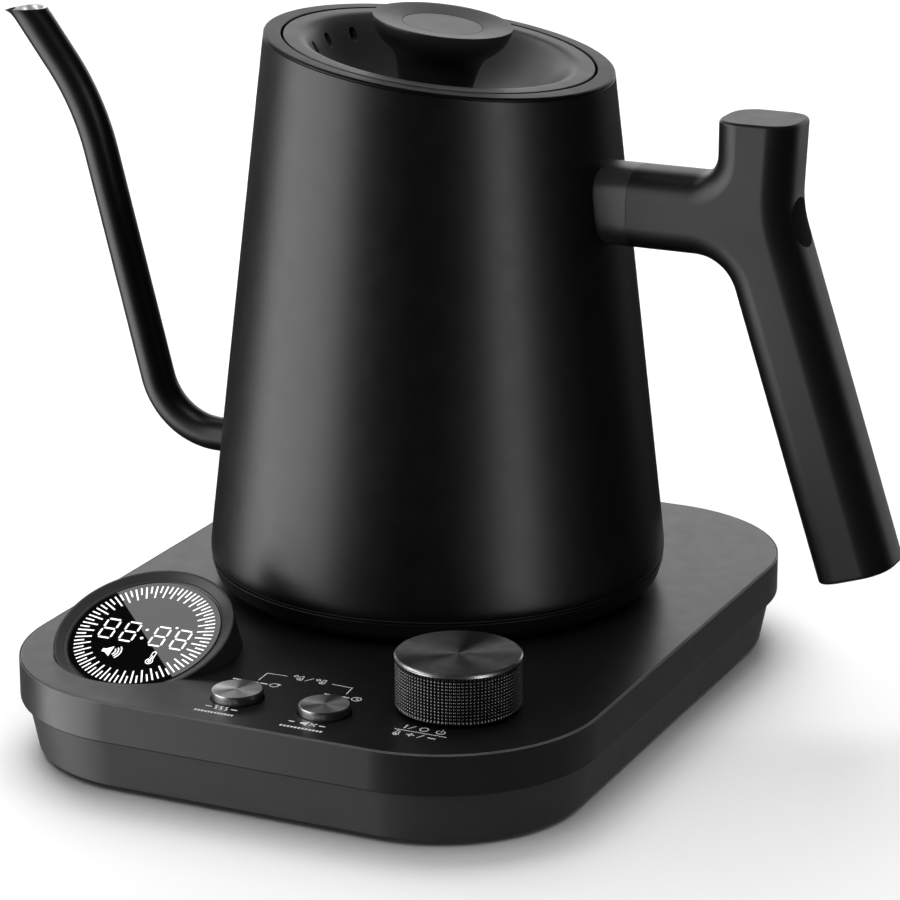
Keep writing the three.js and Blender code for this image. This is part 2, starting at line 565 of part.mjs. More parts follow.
const spoutCorners = [SPOUT_KNEE, SPOUT_NECK, SPOUT_END];
const spoutRoute = roundedRoute([inPlane(-58.6, SPOUT_ROOT_Z), ...spoutCorners], SPOUT_BENDS);
const boreRoute = roundedRoute([inPlane(-50, SPOUT_ROOT_Z), ...spoutCorners], SPOUT_BENDS);
const flare = (grow, length) => {
  const cone = new THREE.CylinderGeometry(SPOUT_RADIUS + grow, SPOUT_RADIUS + grow - 1.1, length, 12);
  const back = SPOUT_NECK.clone().sub(SPOUT_END).normalize();
  const middle = SPOUT_END.clone().addScaledVector(back, TIP_OVERRUN / Math.cos(SPOUT_TIP_LEAN));
  return solid(cone.rotateX(Math.PI / 2).rotateY(-SPOUT_TIP_LEAN).translate(middle.x, 0, middle.z));
};
const aboveTip = block([-200, -30, SPOUT_TIP_Z], [0, 30, 220]);
const spoutOutside = swept(spoutRoute, circle(SPOUT_RADIUS, 12), SPOUT_STEPS).add(flare(0.9, 9));
const spoutBore = swept(boreRoute, circle(SPOUT_BORE, 12), SPOUT_STEPS).add(flare(0.3, 9.2));
piece('spout_tube', spoutOutside.subtract(spoutBore).subtract(aboveTip), PAINTED_STEEL, kettle);

// ---- Handle -------------------------------------------------------------------------------------

// Side view of the grip moulding: an arm, an upright stub and a leaning grip, in [x, z]
const down = new THREE.Vector2(Math.sin(GRIP_LEAN), -Math.cos(GRIP_LEAN));
const across = new THREE.Vector2(Math.cos(GRIP_LEAN), Math.sin(GRIP_LEAN));
const EXTRA = 12; // the blank runs past each end, which is then cut flat
const gripAxis = (along, side) => new THREE.Vector2(GRIP_X, ARM_Z)
  .addScaledVector(down, along).addScaledVector(across, side);

// Adds a corner of the outline, rounded by an arc.
function corner(points, before, at, after, radius, steps = 6) {
  const arc = fillet(before, at, after, radius);
  for (let i = 0; i <= steps; i++) points.push(arc(i / steps));
}

const flat = (x, z) => new THREE.Vector2(x, z);
const armStart = ARM_START_X + GAP;
const lowEnd = GRIP_LENGTH + EXTRA;
const blankTop = STUB_TOP_Z + EXTRA;
const innerSide = GRIP_X - HANDLE_HALF;
const outerFoot = flat(GRIP_X + HANDLE_HALF - 0.6, ARM_Z + 2);
const outerUp = flat(Math.sin(STUB_LEAN), Math.cos(STUB_LEAN));
const outerTop = meet(outerFoot, outerUp, flat(0, blankTop), flat(1, 0));
const innerTop = flat(innerSide, blankTop);
const armpit = flat(innerSide, ARM_Z + HANDLE_HALF);
const armEndTop = flat(armStart - EXTRA, ARM_Z + HANDLE_HALF);
const armEndLow = flat(armStart - EXTRA, ARM_Z - HANDLE_HALF);
const underArm = meet(armEndLow, flat(1, 0), gripAxis(0, -HANDLE_HALF), down);
const backBend = meet(outerFoot, outerUp, gripAxis(0, HANDLE_HALF), down);
const gripInner = gripAxis(lowEnd, -HANDLE_HALF);
const gripOuter = gripAxis(lowEnd, HANDLE_HALF);
const sideView = [outerTop, innerTop];
corner(sideView, innerTop, armpit, armEndTop, 6);
sideView.push(armEndTop, armEndLow);
corner(sideView, armEndLow, underArm, gripInner, 11.5, 8);
sideView.push(gripInner, gripOuter);
corner(sideView, gripOuter, backBend, outerTop, 30, 4);

// A side view given a rounded square section: its edges are rolled over by HANDLE_EDGE.
function rolled(points) {
  const geometry = new THREE.ExtrudeGeometry(new THREE.Shape(points), {
    depth: 2 * (HANDLE_HALF - HANDLE_EDGE),
    bevelThickness: HANDLE_EDGE,
    bevelSize: HANDLE_EDGE,
    bevelOffset: -HANDLE_EDGE,
    bevelSegments: 3,
  });
  return solid(geometry.translate(0, 0, HANDLE_EDGE - HANDLE_HALF).rotateX(Math.PI / 2));
}

const gripMiddle = gripAxis(GRIP_LENGTH / 2, 0);
const gripSlab = block([-60, -20, -GRIP_LENGTH / 2], [60, 20, 120])
  .rotate([0, -THREE.MathUtils.radToDeg(GRIP_LEAN), 0]).translate([gripMiddle.x, 0, gripMiddle.y]);
const gripEnds = block([armStart, -20, 0], [160, 20, STUB_TOP_Z]).intersect(gripSlab);
const along = (shape) => shape.rotate([0, 90, 0]).translate([0, 0, ARM_Z]);
const BRACKET_END = 76;
const bracketSocket = block([50, -5.8, ARM_Z - 5.8], [BRACKET_END + 0.5, 5.8, ARM_Z + 5.8]);
const screwBore = along(rod(2.4, 70, 97, [0, 0], 16));
const plugBore = along(rod(PLUG_RADIUS + GAP, 97, 120, [0, 0], 28));
const gripCuts = all(bracketSocket, screwBore, plugBore);
const gripBlank = rolled(sideView).intersect(gripEnds);
piece('handle_grip', gripBlank.subtract(gripCuts), HANDLE_PLASTIC, kettle);

const bodyWithGap = turned([
  [0, 80], [bodyRadius(80) + GAP, 80], [bodyRadius(140) + GAP, 140], [0, 140]], 64);
const ferruleView = [[30, -1], [80, -1], [80, 1], [30, 1]]
  .map(([x, side]) => new THREE.Vector2(x, ARM_Z + side * HANDLE_HALF));
const ferruleBlank = rolled(ferruleView).intersect(block([40, -20, 90], [ARM_START_X, 20, 130]));
piece('handle_collar', ferruleBlank.subtract(all(bodyWithGap, bracketSocket)), COLLAR_PLASTIC, kettle);

const bracketBar = block([48.2, -5.5, ARM_Z - 5.5], [BRACKET_END, 5.5, ARM_Z + 5.5]);
const bracketFoot = block([46, -9, ARM_Z - 9], [60, 9, ARM_Z + 9])
  .intersect(turned([[46.2, 90], [48.9, 90], [48.9, 130], [46.2, 130]], 72));
piece('handle_bracket', bracketBar.add(bracketFoot).subtract(along(rod(1.9, 55, 90, [0, 0], 16))),
  BRIGHT_STEEL, kettle);
piece('handle_screw', along(all(rod(1.6, 58, 98, [0, 0], 12), rod(4, 97.3, 99.8, [0, 0], 18))),
  BRIGHT_STEEL, kettle);
const plugBlank = along(rod(PLUG_RADIUS, 100.1, 120, [0, 0], 28));
piece('handle_plug', plugBlank.intersect(gripBlank), COLLAR_PLASTIC, kettle);

// ---- Lid, in the frame square to the rim --------------------------------------------------------

// The dished face from the border inwards; the underside follows it one sheet lower.
const bowl = [
  [36.9, 0], [34.6, -0.9], [32.9, -3.4], [31.4, -7.6], [28.4, -12.6], [23.5, -15.5], [17.5, -BOWL_DEPTH],
];
const bowlUnder = bowl.slice(1).map(([r, w]) => [r + LID_SHEET * 0.8, w - LID_SHEET * 0.9]).reverse();
const SKIRT_DEPTH = -8;
const lidProfile = [
  [2, -BOWL_DEPTH], ...bowl.slice().reverse(), [LID_RADIUS - 0.4, 0], [LID_RADIUS, -0.4],
  [LID_RADIUS, SKIRT_DEPTH], [LID_RADIUS - LID_SHEET, SKIRT_DEPTH], [LID_RADIUS - LID_SHEET, -LID_SHEET],
  ...bowlUnder.reverse(), [2, -BOWL_DEPTH - LID_SHEET],
];
const vents = [160, 180, 200].map((degrees) => (
  block([28, -1.1, -6.2], [37.5, 1.1, -2.4]).rotate([0, 0, degrees])
));
piece('lid_cover', turned(lidProfile, 32).subtract(all(...vents)), LID_PLASTIC, lid);

const DISC_SEAT = KNOB_TOP - 2.4;
const knob = turned([
  [0, GAP - BOWL_DEPTH], [9.7, GAP - BOWL_DEPTH], [10.9, -5.2], [11.6, -2.6], [12.9, -0.7], [15.1, 0.9],
  [17.1, 2.9], [18.4, 5.3], [KNOB_RADIUS, KNOB_TOP - 0.7], [KNOB_RADIUS - 0.3, KNOB_TOP],
  [10.9, KNOB_TOP - 1.1], [10.9, DISC_SEAT], [0, DISC_SEAT],
], 28);
piece('lid_knob', knob.subtract(rod(1.8, -20, -1, [0, 0], 12)), LID_PLASTIC, lid);
piece('knob_disc', rod(10.6, DISC_SEAT + GAP, KNOB_TOP - 1.1, [0, 0], 20), LID_PLASTIC, lid);
piece('lid_screw', screw(3.2, 1.5, -19.6, -18.4, -2, [0, 0]), BRIGHT_STEEL, lid);
piece('lid_gasket', turned([
  [38, SKIRT_DEPTH - GAP], [41.6, SKIRT_DEPTH - GAP], [LID_RADIUS, -9.4], [41, -9.8], [LID_RADIUS, -10.6],
  [41.4, -11.4], [38, -11.4],
], 28), SILICONE, lid);
piece('lid_underside', turned([
  [0, -20], [27, -20], [36, -12.8], [41.2, -12.8], [41.2, -11.8], [36.4, -11.8], [27.4, -19], [4, -19],
  [4, -19.8], [0, -19.8],
], 28), BRIGHT_STEEL, lid);

export default group;
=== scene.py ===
"""Looks of a gooseneck kettle on its control base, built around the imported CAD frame.

Sizes are in millimetres and are turned to metres when a mesh is made. +Z is up, the spout points to -X,
the handle to +X, and the controls face -Y. Heights marked "kettle" count from the top of the base.
"""

import math

import bmesh
import bpy
from mathutils import Matrix, Vector


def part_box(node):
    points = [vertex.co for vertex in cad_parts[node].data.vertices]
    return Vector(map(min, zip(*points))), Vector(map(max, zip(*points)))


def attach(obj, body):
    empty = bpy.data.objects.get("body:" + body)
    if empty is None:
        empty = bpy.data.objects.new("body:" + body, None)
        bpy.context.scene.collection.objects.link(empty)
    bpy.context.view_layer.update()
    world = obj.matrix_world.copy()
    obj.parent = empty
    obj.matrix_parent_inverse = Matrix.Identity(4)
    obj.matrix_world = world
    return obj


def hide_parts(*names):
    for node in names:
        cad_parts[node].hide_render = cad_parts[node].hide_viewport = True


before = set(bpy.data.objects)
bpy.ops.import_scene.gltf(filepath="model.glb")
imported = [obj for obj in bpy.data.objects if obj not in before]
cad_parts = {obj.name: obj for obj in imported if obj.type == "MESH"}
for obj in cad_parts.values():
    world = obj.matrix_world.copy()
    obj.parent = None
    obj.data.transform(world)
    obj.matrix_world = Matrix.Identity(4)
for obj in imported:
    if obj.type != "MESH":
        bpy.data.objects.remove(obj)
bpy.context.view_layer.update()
MM = 0.001
TAU = 2 * math.pi
CAMERA_PLACE = Vector((0.39506, -0.82425, 0.35365))  # metres
CAMERA_TURN, CAMERA_RISE = math.radians(24.877), math.radians(17.361)
SENSOR, LENS = 36, 141.8
WORLD_GLOW, BACKDROP = 0.02, 0.97  # the world's strength to the object, and to the camera
FLOOR_SIDE = 1.6  # metres from the middle


def middle(node):
    """The middle of a CAD node's box, in millimetres."""
    low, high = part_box(node)
    return (low + high) / 2 / MM


# ---- Driving dimensions --------------------------------------------------------------------------

SLAB_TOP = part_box("base_top_cover")[1].z / MM
KETTLE = Vector((middle("bottom_cover").x, middle("bottom_cover").y, SLAB_TOP))
DIAL = middle("dial_shell")
DIAL_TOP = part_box("dial_shell")[1].z / MM
BUTTONS = {"hold": middle("hold_button"), "mute": middle("mute_button")}

BASE_WIDTH, BASE_DEPTH, BASE_CORNER = 160.8, 210.4, 43.3
BASE_X = middle("base_top_cover").x
SLAB_BOTTOM, SLAB_WALL, SLAB_LIP_WALL = 15.5, 2.2, 4.2
PLINTH_LOW, PLINTH_TOP, INSET_LOW, INSET_TOP = 1.9, 15.2, 4.5, 1.9

BODY_RADIUS, BODY_WIDEST, BODY_TAPER, BODY_FOOT, BODY_WALL = 63.0, 9.3, 0.117, 7.6, 1.0
RIM_TILT, RIM_X, RIM_HEIGHT = math.radians(7.51), 0.7, 147.7
NECK_RADIUS = 42.45
LID_RADIUS, BOWL_DEPTH = 41.75, 16.5

SPOUT_RADIUS, SPOUT_BORE, SPOUT_Z = 4.8, 4.1, 31.7
SPOUT_LEAN, TIP_LEAN, TIP_Z = math.radians(14.5), math.radians(36.7), 149.5
KNEE_X, NECK_BEND_Z = -83.9, 123.75
BEAK, BEAK_DIP = 1.25, 0.5

HANDLE_HALF, HANDLE_POWER, ARM_Z = 10.65, 2.9, 111.0
ARM_START, GRIP_X, GRIP_LEAN, GRIP_LENGTH = 58.8, 92.4, math.atan(0.3306), 97.1
STUB_TOP, STUB_LEAN, PLUG_RADIUS = 137.3, math.radians(2.6), 6.2

DISPLAY_TILT, GLASS_RADIUS, BEZEL_RADIUS, BEZEL_TOP = math.radians(22.7), 20.3, 24.1, 1.3
BEZEL_FOOT_Z, BEZEL_DEPTH = 20, 24
FACE_Y, FACE_Z = -68.25, 31.1  # the middle of the display's face
DIAL_RADIUS, BUTTON_RADIUS, BUTTON_TOP = 16.2, 6.6, 28.9

display_face = Vector((middle("display_glass").x, FACE_Y, FACE_Z))
IN_KETTLE = Matrix.Translation(KETTLE)
IN_LID = IN_KETTLE @ Matrix.Translation((RIM_X, 0, RIM_HEIGHT)) @ Matrix.Rotation(RIM_TILT, 4, "Y")
IN_DISPLAY = Matrix.Translation(display_face) @ Matrix.Rotation(DISPLAY_TILT, 4, "X")
IN_PART = Matrix.Identity(4)

# ---- Finishes ------------------------------------------------------------------------------------


def finish(name, colour, roughness, vary=0.12, grain=60, rough_vary=0.05, bump=0.0, bump_grain=900,
           **fixed):
    """A procedural finish that varies softly, with a fine grain. fixed sets sockets by name."""
    made = bpy.data.materials.new(name)
    made.use_nodes = True
    nodes, links = made.node_tree.nodes, made.node_tree.links
    shader = nodes["Principled BSDF"]
    place = nodes.new("ShaderNodeTexCoord")

    def noise(scale, detail):
        node = nodes.new("ShaderNodeTexNoise")
        node.inputs["Scale"].default_value = scale
        node.inputs["Detail"].default_value = detail
        links.new(place.outputs["Object"], node.inputs["Vector"])
        return node.outputs["Fac"]

    cloud = noise(grain, 4)
    ramp = nodes.new("ShaderNodeValToRGB")
    ramp.color_ramp.elements[0].position, ramp.color_ramp.elements[1].position = 0.3, 0.7
    for element, share in zip(ramp.color_ramp.elements, (1 - vary, 1 + vary)):
        element.color = (*[min(1, c * share) for c in colour], 1)
    links.new(cloud, ramp.inputs["Fac"])
    links.new(ramp.outputs["Color"], shader.inputs["Base Color"])
    spread = nodes.new("ShaderNodeMapRange")
    spread.inputs["To Min"].default_value = max(0, roughness - rough_vary)
    spread.inputs["To Max"].default_value = roughness + rough_vary
    links.new(noise(grain * 3, 3), spread.inputs["Value"])
    links.new(spread.outputs["Result"], shader.inputs["Roughness"])
    if bump:
        relief = nodes.new("ShaderNodeBump")
        relief.inputs["Strength"].default_value = bump
        relief.inputs["Distance"].default_value = 0.00005
        links.new(noise(bump_grain, 2), relief.inputs["Height"])
        links.new(relief.outputs["Normal"], shader.inputs["Normal"])
    for socket, value in fixed.items():
        shader.inputs[socket.replace("_", " ")].default_value = value
    return made


def grey(value):
    return (value, value, value * 1.02)


def spun_with_painted_sheen(material, painted_sheen_depth):
    """Turns a metal's sheen round the piece's upright axis, as a lathe does, and paints light and dark
    streaks that fan out into its base colour: painted sheen.
    """
    nodes, links = material.node_tree.nodes, material.node_tree.links
    shader = nodes["Principled BSDF"]
    tangent = nodes.new("ShaderNodeTangent")
    tangent.direction_type, tangent.axis = "RADIAL", "Z"
    links.new(tangent.outputs["Tangent"], shader.inputs["Tangent"])
    place = nodes.new("ShaderNodeTexCoord")
    centred = nodes.new("ShaderNodeVectorMath")
    centred.operation = "SUBTRACT"
    centred.inputs[1].default_value = (0.5, 0.5, 0.5)
    links.new(place.outputs["Generated"], centred.inputs[0])
    around = nodes.new("ShaderNodeTexGradient")
    around.gradient_type = "RADIAL"
    links.new(centred.outputs["Vector"], around.inputs["Vector"])
    waves = []
    for count, shift in ((2, 0.9), (3, 2.4), (5, 0.3)):
        turn = nodes.new("ShaderNodeMath")
        turn.operation = "MULTIPLY_ADD"
        turn.inputs[1].default_value, turn.inputs[2].default_value = TAU * count, shift
        links.new(around.outputs["Fac"], turn.inputs[0])
        wave = nodes.new("ShaderNodeMath")
        wave.operation = "SINE"
        links.new(turn.outputs["Value"], wave.inputs[0])
        waves.append(wave.outputs["Value"])
    total = waves[0]
    for wave in waves[1:]:
        add = nodes.new("ShaderNodeMath")
        links.new(total, add.inputs[0])
        links.new(wave, add.inputs[1])
        total = add.outputs["Value"]
    # The base colour is scaled up and down round the axis by these waves: painted sheen streaks.
    painted_sheen_scale = nodes.new("ShaderNodeMapRange")
    painted_sheen_scale.inputs["From Min"].default_value, painted_sheen_scale.inputs["From Max"].default_value = -2.2, 2.2
    painted_sheen_scale.inputs["To Min"].default_value, painted_sheen_scale.inputs["To Max"].default_value = 1 - painted_sheen_depth, 1
    links.new(total, painted_sheen_scale.inputs["Value"])
    painted_sheen_colour = nodes.new("ShaderNodeVectorMath")
    painted_sheen_colour.operation = "SCALE"
    links.new(shader.inputs["Base Color"].links[0].from_socket, painted_sheen_colour.inputs[0])
    links.new(painted_sheen_scale.outputs["Result"], painted_sheen_colour.inputs["Scale"])
    links.new(painted_sheen_colour.outputs["Vector"], shader.inputs["Base Color"])
    return material


PAINT = finish("satin_black_paint", grey(0.0007), 0.38, bump=0.2, Specular_IOR_Level=0.42)
RIM_PAINT = finish("rim_black_paint", grey(0.0010), 0.40, bump=0.2, Specular_IOR_Level=0.22)
HANDLE = finish("soft_black_plastic", grey(0.004), 0.42, bump=0.25)
COLLAR = finish("grey_black_plastic", grey(0.014), 0.38, bump=0.25, Specular_IOR_Level=0.6)
PLUG = finish("matte_black_plastic", grey(0.007), 0.6, bump=0.25, Specular_IOR_Level=0.35)
LID = finish("lid_black_plastic", grey(0.024), 0.40, bump=0.2, Specular_IOR_Level=0.3)
LID_TOP = finish("knob_inlay_plastic", grey(0.045), 0.42, bump=0.2, Specular_IOR_Level=0.5)
BASE = finish("charcoal_plastic", grey(0.006), 0.35, bump=0.3, Specular_IOR_Level=0.44)
# A lighter colour for the slab's top bevel: a painted highlight line along its edge.
BASE_EDGE_HIGHLIGHT = finish("charcoal_painted_edge_highlight", grey(0.09), 0.30, vary=0.2, bump=0.2)
BEZEL = finish("bezel_plastic", grey(0.030), 0.40, bump=0.2)
PLINTH = finish("dark_plinth_plastic", grey(0.022), 0.46, bump=0.3)
COVER = finish("bottom_band_plastic", grey(0.003), 0.45, bump=0.3, Specular_IOR_Level=0.3)
INNER = finish("inner_plastic", grey(0.030), 0.5, bump=0.4)
GLASS = finish("black_glass", grey(0.002), 0.008, rough_vary=0.004)
GUNMETAL = finish("gunmetal", grey(0.16), 0.30, vary=0.2, grain=400, bump=0.2, Metallic=1.0)
# Spun metal for the dial's top and the buttons' tops: its anisotropic sheen is real, and its light and dark
# sectors are painted sheen.
SPUN_PAINTED_SHEEN = finish("spun_gunmetal_painted_sheen", grey(0.16), 0.36, vary=0.2, grain=300, Metallic=0.5, Anisotropic=0.8)
SPUN_PAINTED_SHEEN = spun_with_painted_sheen(SPUN_PAINTED_SHEEN, painted_sheen_depth=0.85)
SPUN_BRIGHT_PAINTED_SHEEN = finish("spun_steel_painted_sheen", grey(0.58), 0.36, vary=0.1, grain=300, Metallic=0.85, Anisotropic=0.7)
SPUN_BRIGHT_PAINTED_SHEEN = spun_with_painted_sheen(SPUN_BRIGHT_PAINTED_SHEEN, painted_sheen_depth=0.8)
EDGE_METAL = finish("polished_edge", grey(0.42), 0.32, vary=0.1, grain=300, rough_vary=0.03, Metallic=1.0)
# A darker colour for the faces down in the knurl's grooves: painted shade.
GROOVE_SHADE_METAL = finish("knurl_grooves_painted_shade", grey(0.02), 0.4, vary=0.2, grain=400, Metallic=1.0)
STEEL = finish("bright_steel", grey(0.62), 0.16, vary=0.08, rough_vary=0.04, bump=0.1, Metallic=1.0)
# Steel in the spout's mouth: its strong blotchy tone variation is painted reflection, standing in for light
# and dark reflected stripes.
MOUTH_STEEL = finish("mouth_steel", grey(0.72), 0.3, vary=0.25, grain=350, Metallic=0.7)
STEEL_MATTE = finish("brushed_steel", grey(0.55), 0.32, vary=0.1, bump=0.2, Metallic=1.0)
BRASS = finish("brass", (0.66, 0.42, 0.14), 0.28, bump=0.1, Metallic=1.0)
RUBBER = finish("rubber", grey(0.018), 0.8, bump=0.6, bump_grain=500)
SILICONE = finish("silicone", grey(0.30), 0.55, bump=0.3)
BOARD = finish("circuit_board", (0.012, 0.095, 0.035), 0.5, vary=0.3, grain=500)
RELAY = finish("relay_blue", (0.025, 0.08, 0.32), 0.45, bump=0.2)
WHITE = finish("white_plastic", grey(0.7), 0.5, bump=0.2)
PRINT = finish("pale_print", grey(0.62), 0.55, vary=0.05)
GLOW = finish("lit_marks", grey(0.85), 0.5, vary=0.03, Emission_Color=(1, 1, 1, 1), Emission_Strength=0.6)

# ---- Mesh tools ----------------------------------------------------------------------------------


def shade(piece, sharp):
    piece.data.shade_smooth()
    piece.data.set_sharp_from_angle(angle=math.radians(sharp))


def raw(name, verts, faces, place=IN_PART):
    """An object from points in millimetres, its doubles merged and its faces turned outwards."""
    mesh = bpy.data.meshes.new(name)
    mesh.from_pydata([place @ Vector(v) * MM for v in verts], [], faces)
    sculpt = bmesh.new()
    sculpt.from_mesh(mesh)
    bmesh.ops.remove_doubles(sculpt, verts=sculpt.verts, dist=1e-7)
    bmesh.ops.recalc_face_normals(sculpt, faces=sculpt.faces)
    sculpt.to_mesh(mesh)
    sculpt.free()
    made = bpy.data.objects.new(name, mesh)
    bpy.context.scene.collection.objects.link(made)
    return made


def settle(made, body, slot, finishes, *nodes, sharp=32):
    """Gives a finished mesh its materials and its body, and hides the CAD nodes it stands for. The slot
    argument is not used.
    """
    for material in finishes if isinstance(finishes, (list, tuple)) else [finishes]:
        made.data.materials.append(material)
    shade(made, sharp)
    weigh = made.modifiers.new("weighted", "WEIGHTED_NORMAL")
    weigh.keep_sharp = True
    weigh.weight = 60
    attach(made, body)
    if nodes:
        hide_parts(*nodes)
    return made


def carve(made, cutter, operation="DIFFERENCE"):
    """Cuts a piece with another mesh and keeps the result as plain mesh."""
    change = made.modifiers.new("carve", "BOOLEAN")
    change.operation, change.object, change.solver = operation, cutter, "EXACT"
    graph = bpy.context.evaluated_depsgraph_get()
    result = bpy.data.meshes.new_from_object(made.evaluated_get(graph))
    made.modifiers.clear()
    made.data = result
    bpy.data.objects.remove(cutter)
    return made


def fillet(before, corner, after, radius, steps):
    """Points of the arc that rounds a corner."""
    back, on = (before - corner).normalized(), (after - corner).normalized()
    half = back.angle(on) / 2
    start = corner + back * (radius / math.tan(half))
    centre = corner + (back + on).normalized() * (radius / math.sin(half))
    u, v = start - centre, (corner - start).normalized() * radius
    sweep = math.pi - 2 * half
    return [centre + u * math.cos(sweep * i / steps) + v * math.sin(sweep * i / steps)
            for i in range(steps + 1)]


def rounded(corners, closed=False, steps=5):
    """A line through (x, y) or (x, y, radius) corners, the latter rounded."""
    points = [Vector(c[:2]) for c in corners]
    line = []
    for i, corner in enumerate(corners):
        if len(corner) > 2 and (closed or 0 < i < len(corners) - 1):
            line += fillet(points[i - 1], points[i], points[(i + 1) % len(points)], corner[2], steps)
        else:
            line.append(points[i])
    return line


def smooth_line(points, steps=5):
    """A Catmull-Rom line through points."""
    points = [Vector(p) for p in points]
    ends = [points[0] * 2 - points[1], *points, points[-1] * 2 - points[-2]]
    line = []
    for a, b, c, d in zip(ends, ends[1:], ends[2:], ends[3:]):
        for i in range(steps):
            t = i / steps
            line.append(0.5 * (2 * b + (c - a) * t + (2 * a - 5 * b + 4 * c - d) * t**2
                               + (3 * b - a - 3 * c + d) * t**3))
    return [*line, points[-1]]


def skin(rows, close_rows=True):
    """Faces between rings of equal length; close_rows joins the last ring to the first."""
    count = len(rows[0])
    verts = [p for row in rows for p in row]
    faces = []
    for a in range(len(rows) if close_rows else len(rows) - 1):
        b = (a + 1) % len(rows)
        for i in range(count):
            j = (i + 1) % count
            faces.append((a * count + i, a * count + j, b * count + j, b * count + i))
    return verts, faces


def capped(rows):
    """A solid from a stack of rings, with a face over each end."""
    verts, faces = skin(rows, close_rows=False)
    count = len(rows[0])
    return verts, [*faces, tuple(range(count)), tuple(range(len(verts) - count, len(verts)))]


def circle(radius, height, sides, centre=(0, 0)):
    return [(centre[0] + radius * math.cos(TAU * i / sides),
             centre[1] + radius * math.sin(TAU * i / sides), height) for i in range(sides)]


def turned(profile, sides=96, centre=(0, 0)):
    """Turned upright from (radius, height) points. A profile off the axis closes on itself."""
    on_axis = profile[0][0] < 1e-6 and profile[-1][0] < 1e-6
    inner = profile[1:-1] if on_axis else profile
    verts, faces = skin([circle(r, z, sides, centre) for r, z in inner], close_rows=not on_axis)
    if on_axis:
        for end, first in ((profile[0], 0), (profile[-1], (len(inner) - 1) * sides)):
            verts.append((*centre, end[1]))
            faces += [(first + i, first + (i + 1) % sides, len(verts) - 1) for i in range(sides)]
    return verts, faces


def rod(radius, low, high, centre=(0, 0), sides=48, place=IN_PART):
    rows = [circle(radius, height, sides, centre) for height in (low, high)]
    return raw("cutter", *capped(rows), place)


def prism(outline, low, high):
    """A flat plate of any outline."""
    return capped([[(x, y, low) for x, y in outline], [(x, y, high) for x, y in outline]])


def merged(solids):
    """Several (verts, faces) in one."""
    verts, faces = [], []
    for more_verts, more_faces in solids:
        faces += [tuple(i + len(verts) for i in face) for face in more_faces]
        verts += list(more_verts)
    return verts, faces


# ---- Base ----------------------------------------------------------------------------------------


CORNERS = ((1, 1), (-1, 1), (-1, -1), (1, -1))


def outline(inset, height, steps=20):
    """The base's rounded rectangle, drawn in by an inset."""
    points = []
    for quarter, (sx, sy) in enumerate(CORNERS):
        for i in range(steps + 1):
            angle = (quarter + i / steps) * math.pi / 2
            points.append((
                BASE_X + sx * (BASE_WIDTH / 2 - BASE_CORNER) + (BASE_CORNER - inset) * math.cos(angle),
                sy * (BASE_DEPTH / 2 - BASE_CORNER) + (BASE_CORNER - inset) * math.sin(angle),
                height))
    return points


LIP = SLAB_TOP - 0.12
slab_edge = rounded([
    (SLAB_LIP_WALL, SLAB_BOTTOM), (0, SLAB_BOTTOM, 0.45), (0, LIP, 0.18), (0.26, LIP, 0.06),
    (0.28, LIP - 0.5), (0.45, LIP - 0.5), (0.46, SLAB_TOP, 0.32), (4, SLAB_TOP)])
slab = raw("base_cover", *capped([outline(i, z) for i, z in slab_edge]))
inside = [(SLAB_LIP_WALL - 0.01, SLAB_BOTTOM - 1), (SLAB_LIP_WALL, SLAB_BOTTOM + 1.4),
          (SLAB_WALL, SLAB_BOTTOM + 2.8), (SLAB_WALL, SLAB_TOP - SLAB_WALL)]
carve(slab, raw("cutter", *capped([outline(i, z) for i, z in inside])))
SOCKET_HOLE, SHAFT_HOLE, HOLE_LOW, HOLE_HIGH = 16.8, 3.9, 20, 40
carve(slab, rod(SOCKET_HOLE, HOLE_LOW, HOLE_HIGH, KETTLE.xy, 96))
carve(slab, rod(SHAFT_HOLE, HOLE_LOW, HOLE_HIGH, DIAL.xy))
carve(slab, rod(BEZEL_RADIUS + 0.15, -12, 12, sides=128, place=IN_DISPLAY))
for spot in BUTTONS.values():
    carve(slab, rod(BUTTON_RADIUS + 0.35, HOLE_LOW, HOLE_HIGH, spot.xy))
# The bevel faces along the slab's top edge take the lighter colour: a painted highlight line.
for face in slab.data.polygons:
    face.material_index = int(0.15 < face.normal.z < 0.97 and face.center.z / MM > LIP - 0.35)
settle(slab, "base", "base_plastic", [BASE, BASE_EDGE_HIGHLIGHT], "base_top_cover")

plinth_side = rounded([(12, PLINTH_LOW), (INSET_LOW + 0.05, PLINTH_LOW, 0.35),
                       (INSET_TOP, PLINTH_TOP, 0.25), (5, PLINTH_TOP)])
tray = raw("base_tray", *capped([outline(i, z) for i, z in plinth_side]))
carve(tray, raw("cutter", *capped([outline(6.5, 4.1), outline(3.9, 16.2)])))
feet = [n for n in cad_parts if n.startswith("foot_")]
for foot in feet:
    carve(tray, rod(8.25, 0, 2.9, middle(foot).xy))
screws = [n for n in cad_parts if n.startswith("base_screw_")]
for name in screws:
    carve(tray, rod(3.2, 0, 4, middle(name).xy))
inlet = middle("cord_grommet")
carve(tray, rod(4.8, -12, 12, place=Matrix.Translation(inlet) @ Matrix.Rotation(math.pi / 2, 4, "X")))
settle(tray, "base", "plinth_plastic", PLINTH, "base_lower_tray")

for foot in feet:
    pad = rounded([(0, 2.7), (8, 2.7), (8, 0, 0.7), (5.2, 0, 0.3), (4.9, 0.35, 0.2), (0, 0.35)])
    settle(raw(foot + "_pad", *turned(pad, 48, middle(foot).xy)), "base", "rubber", RUBBER, foot)


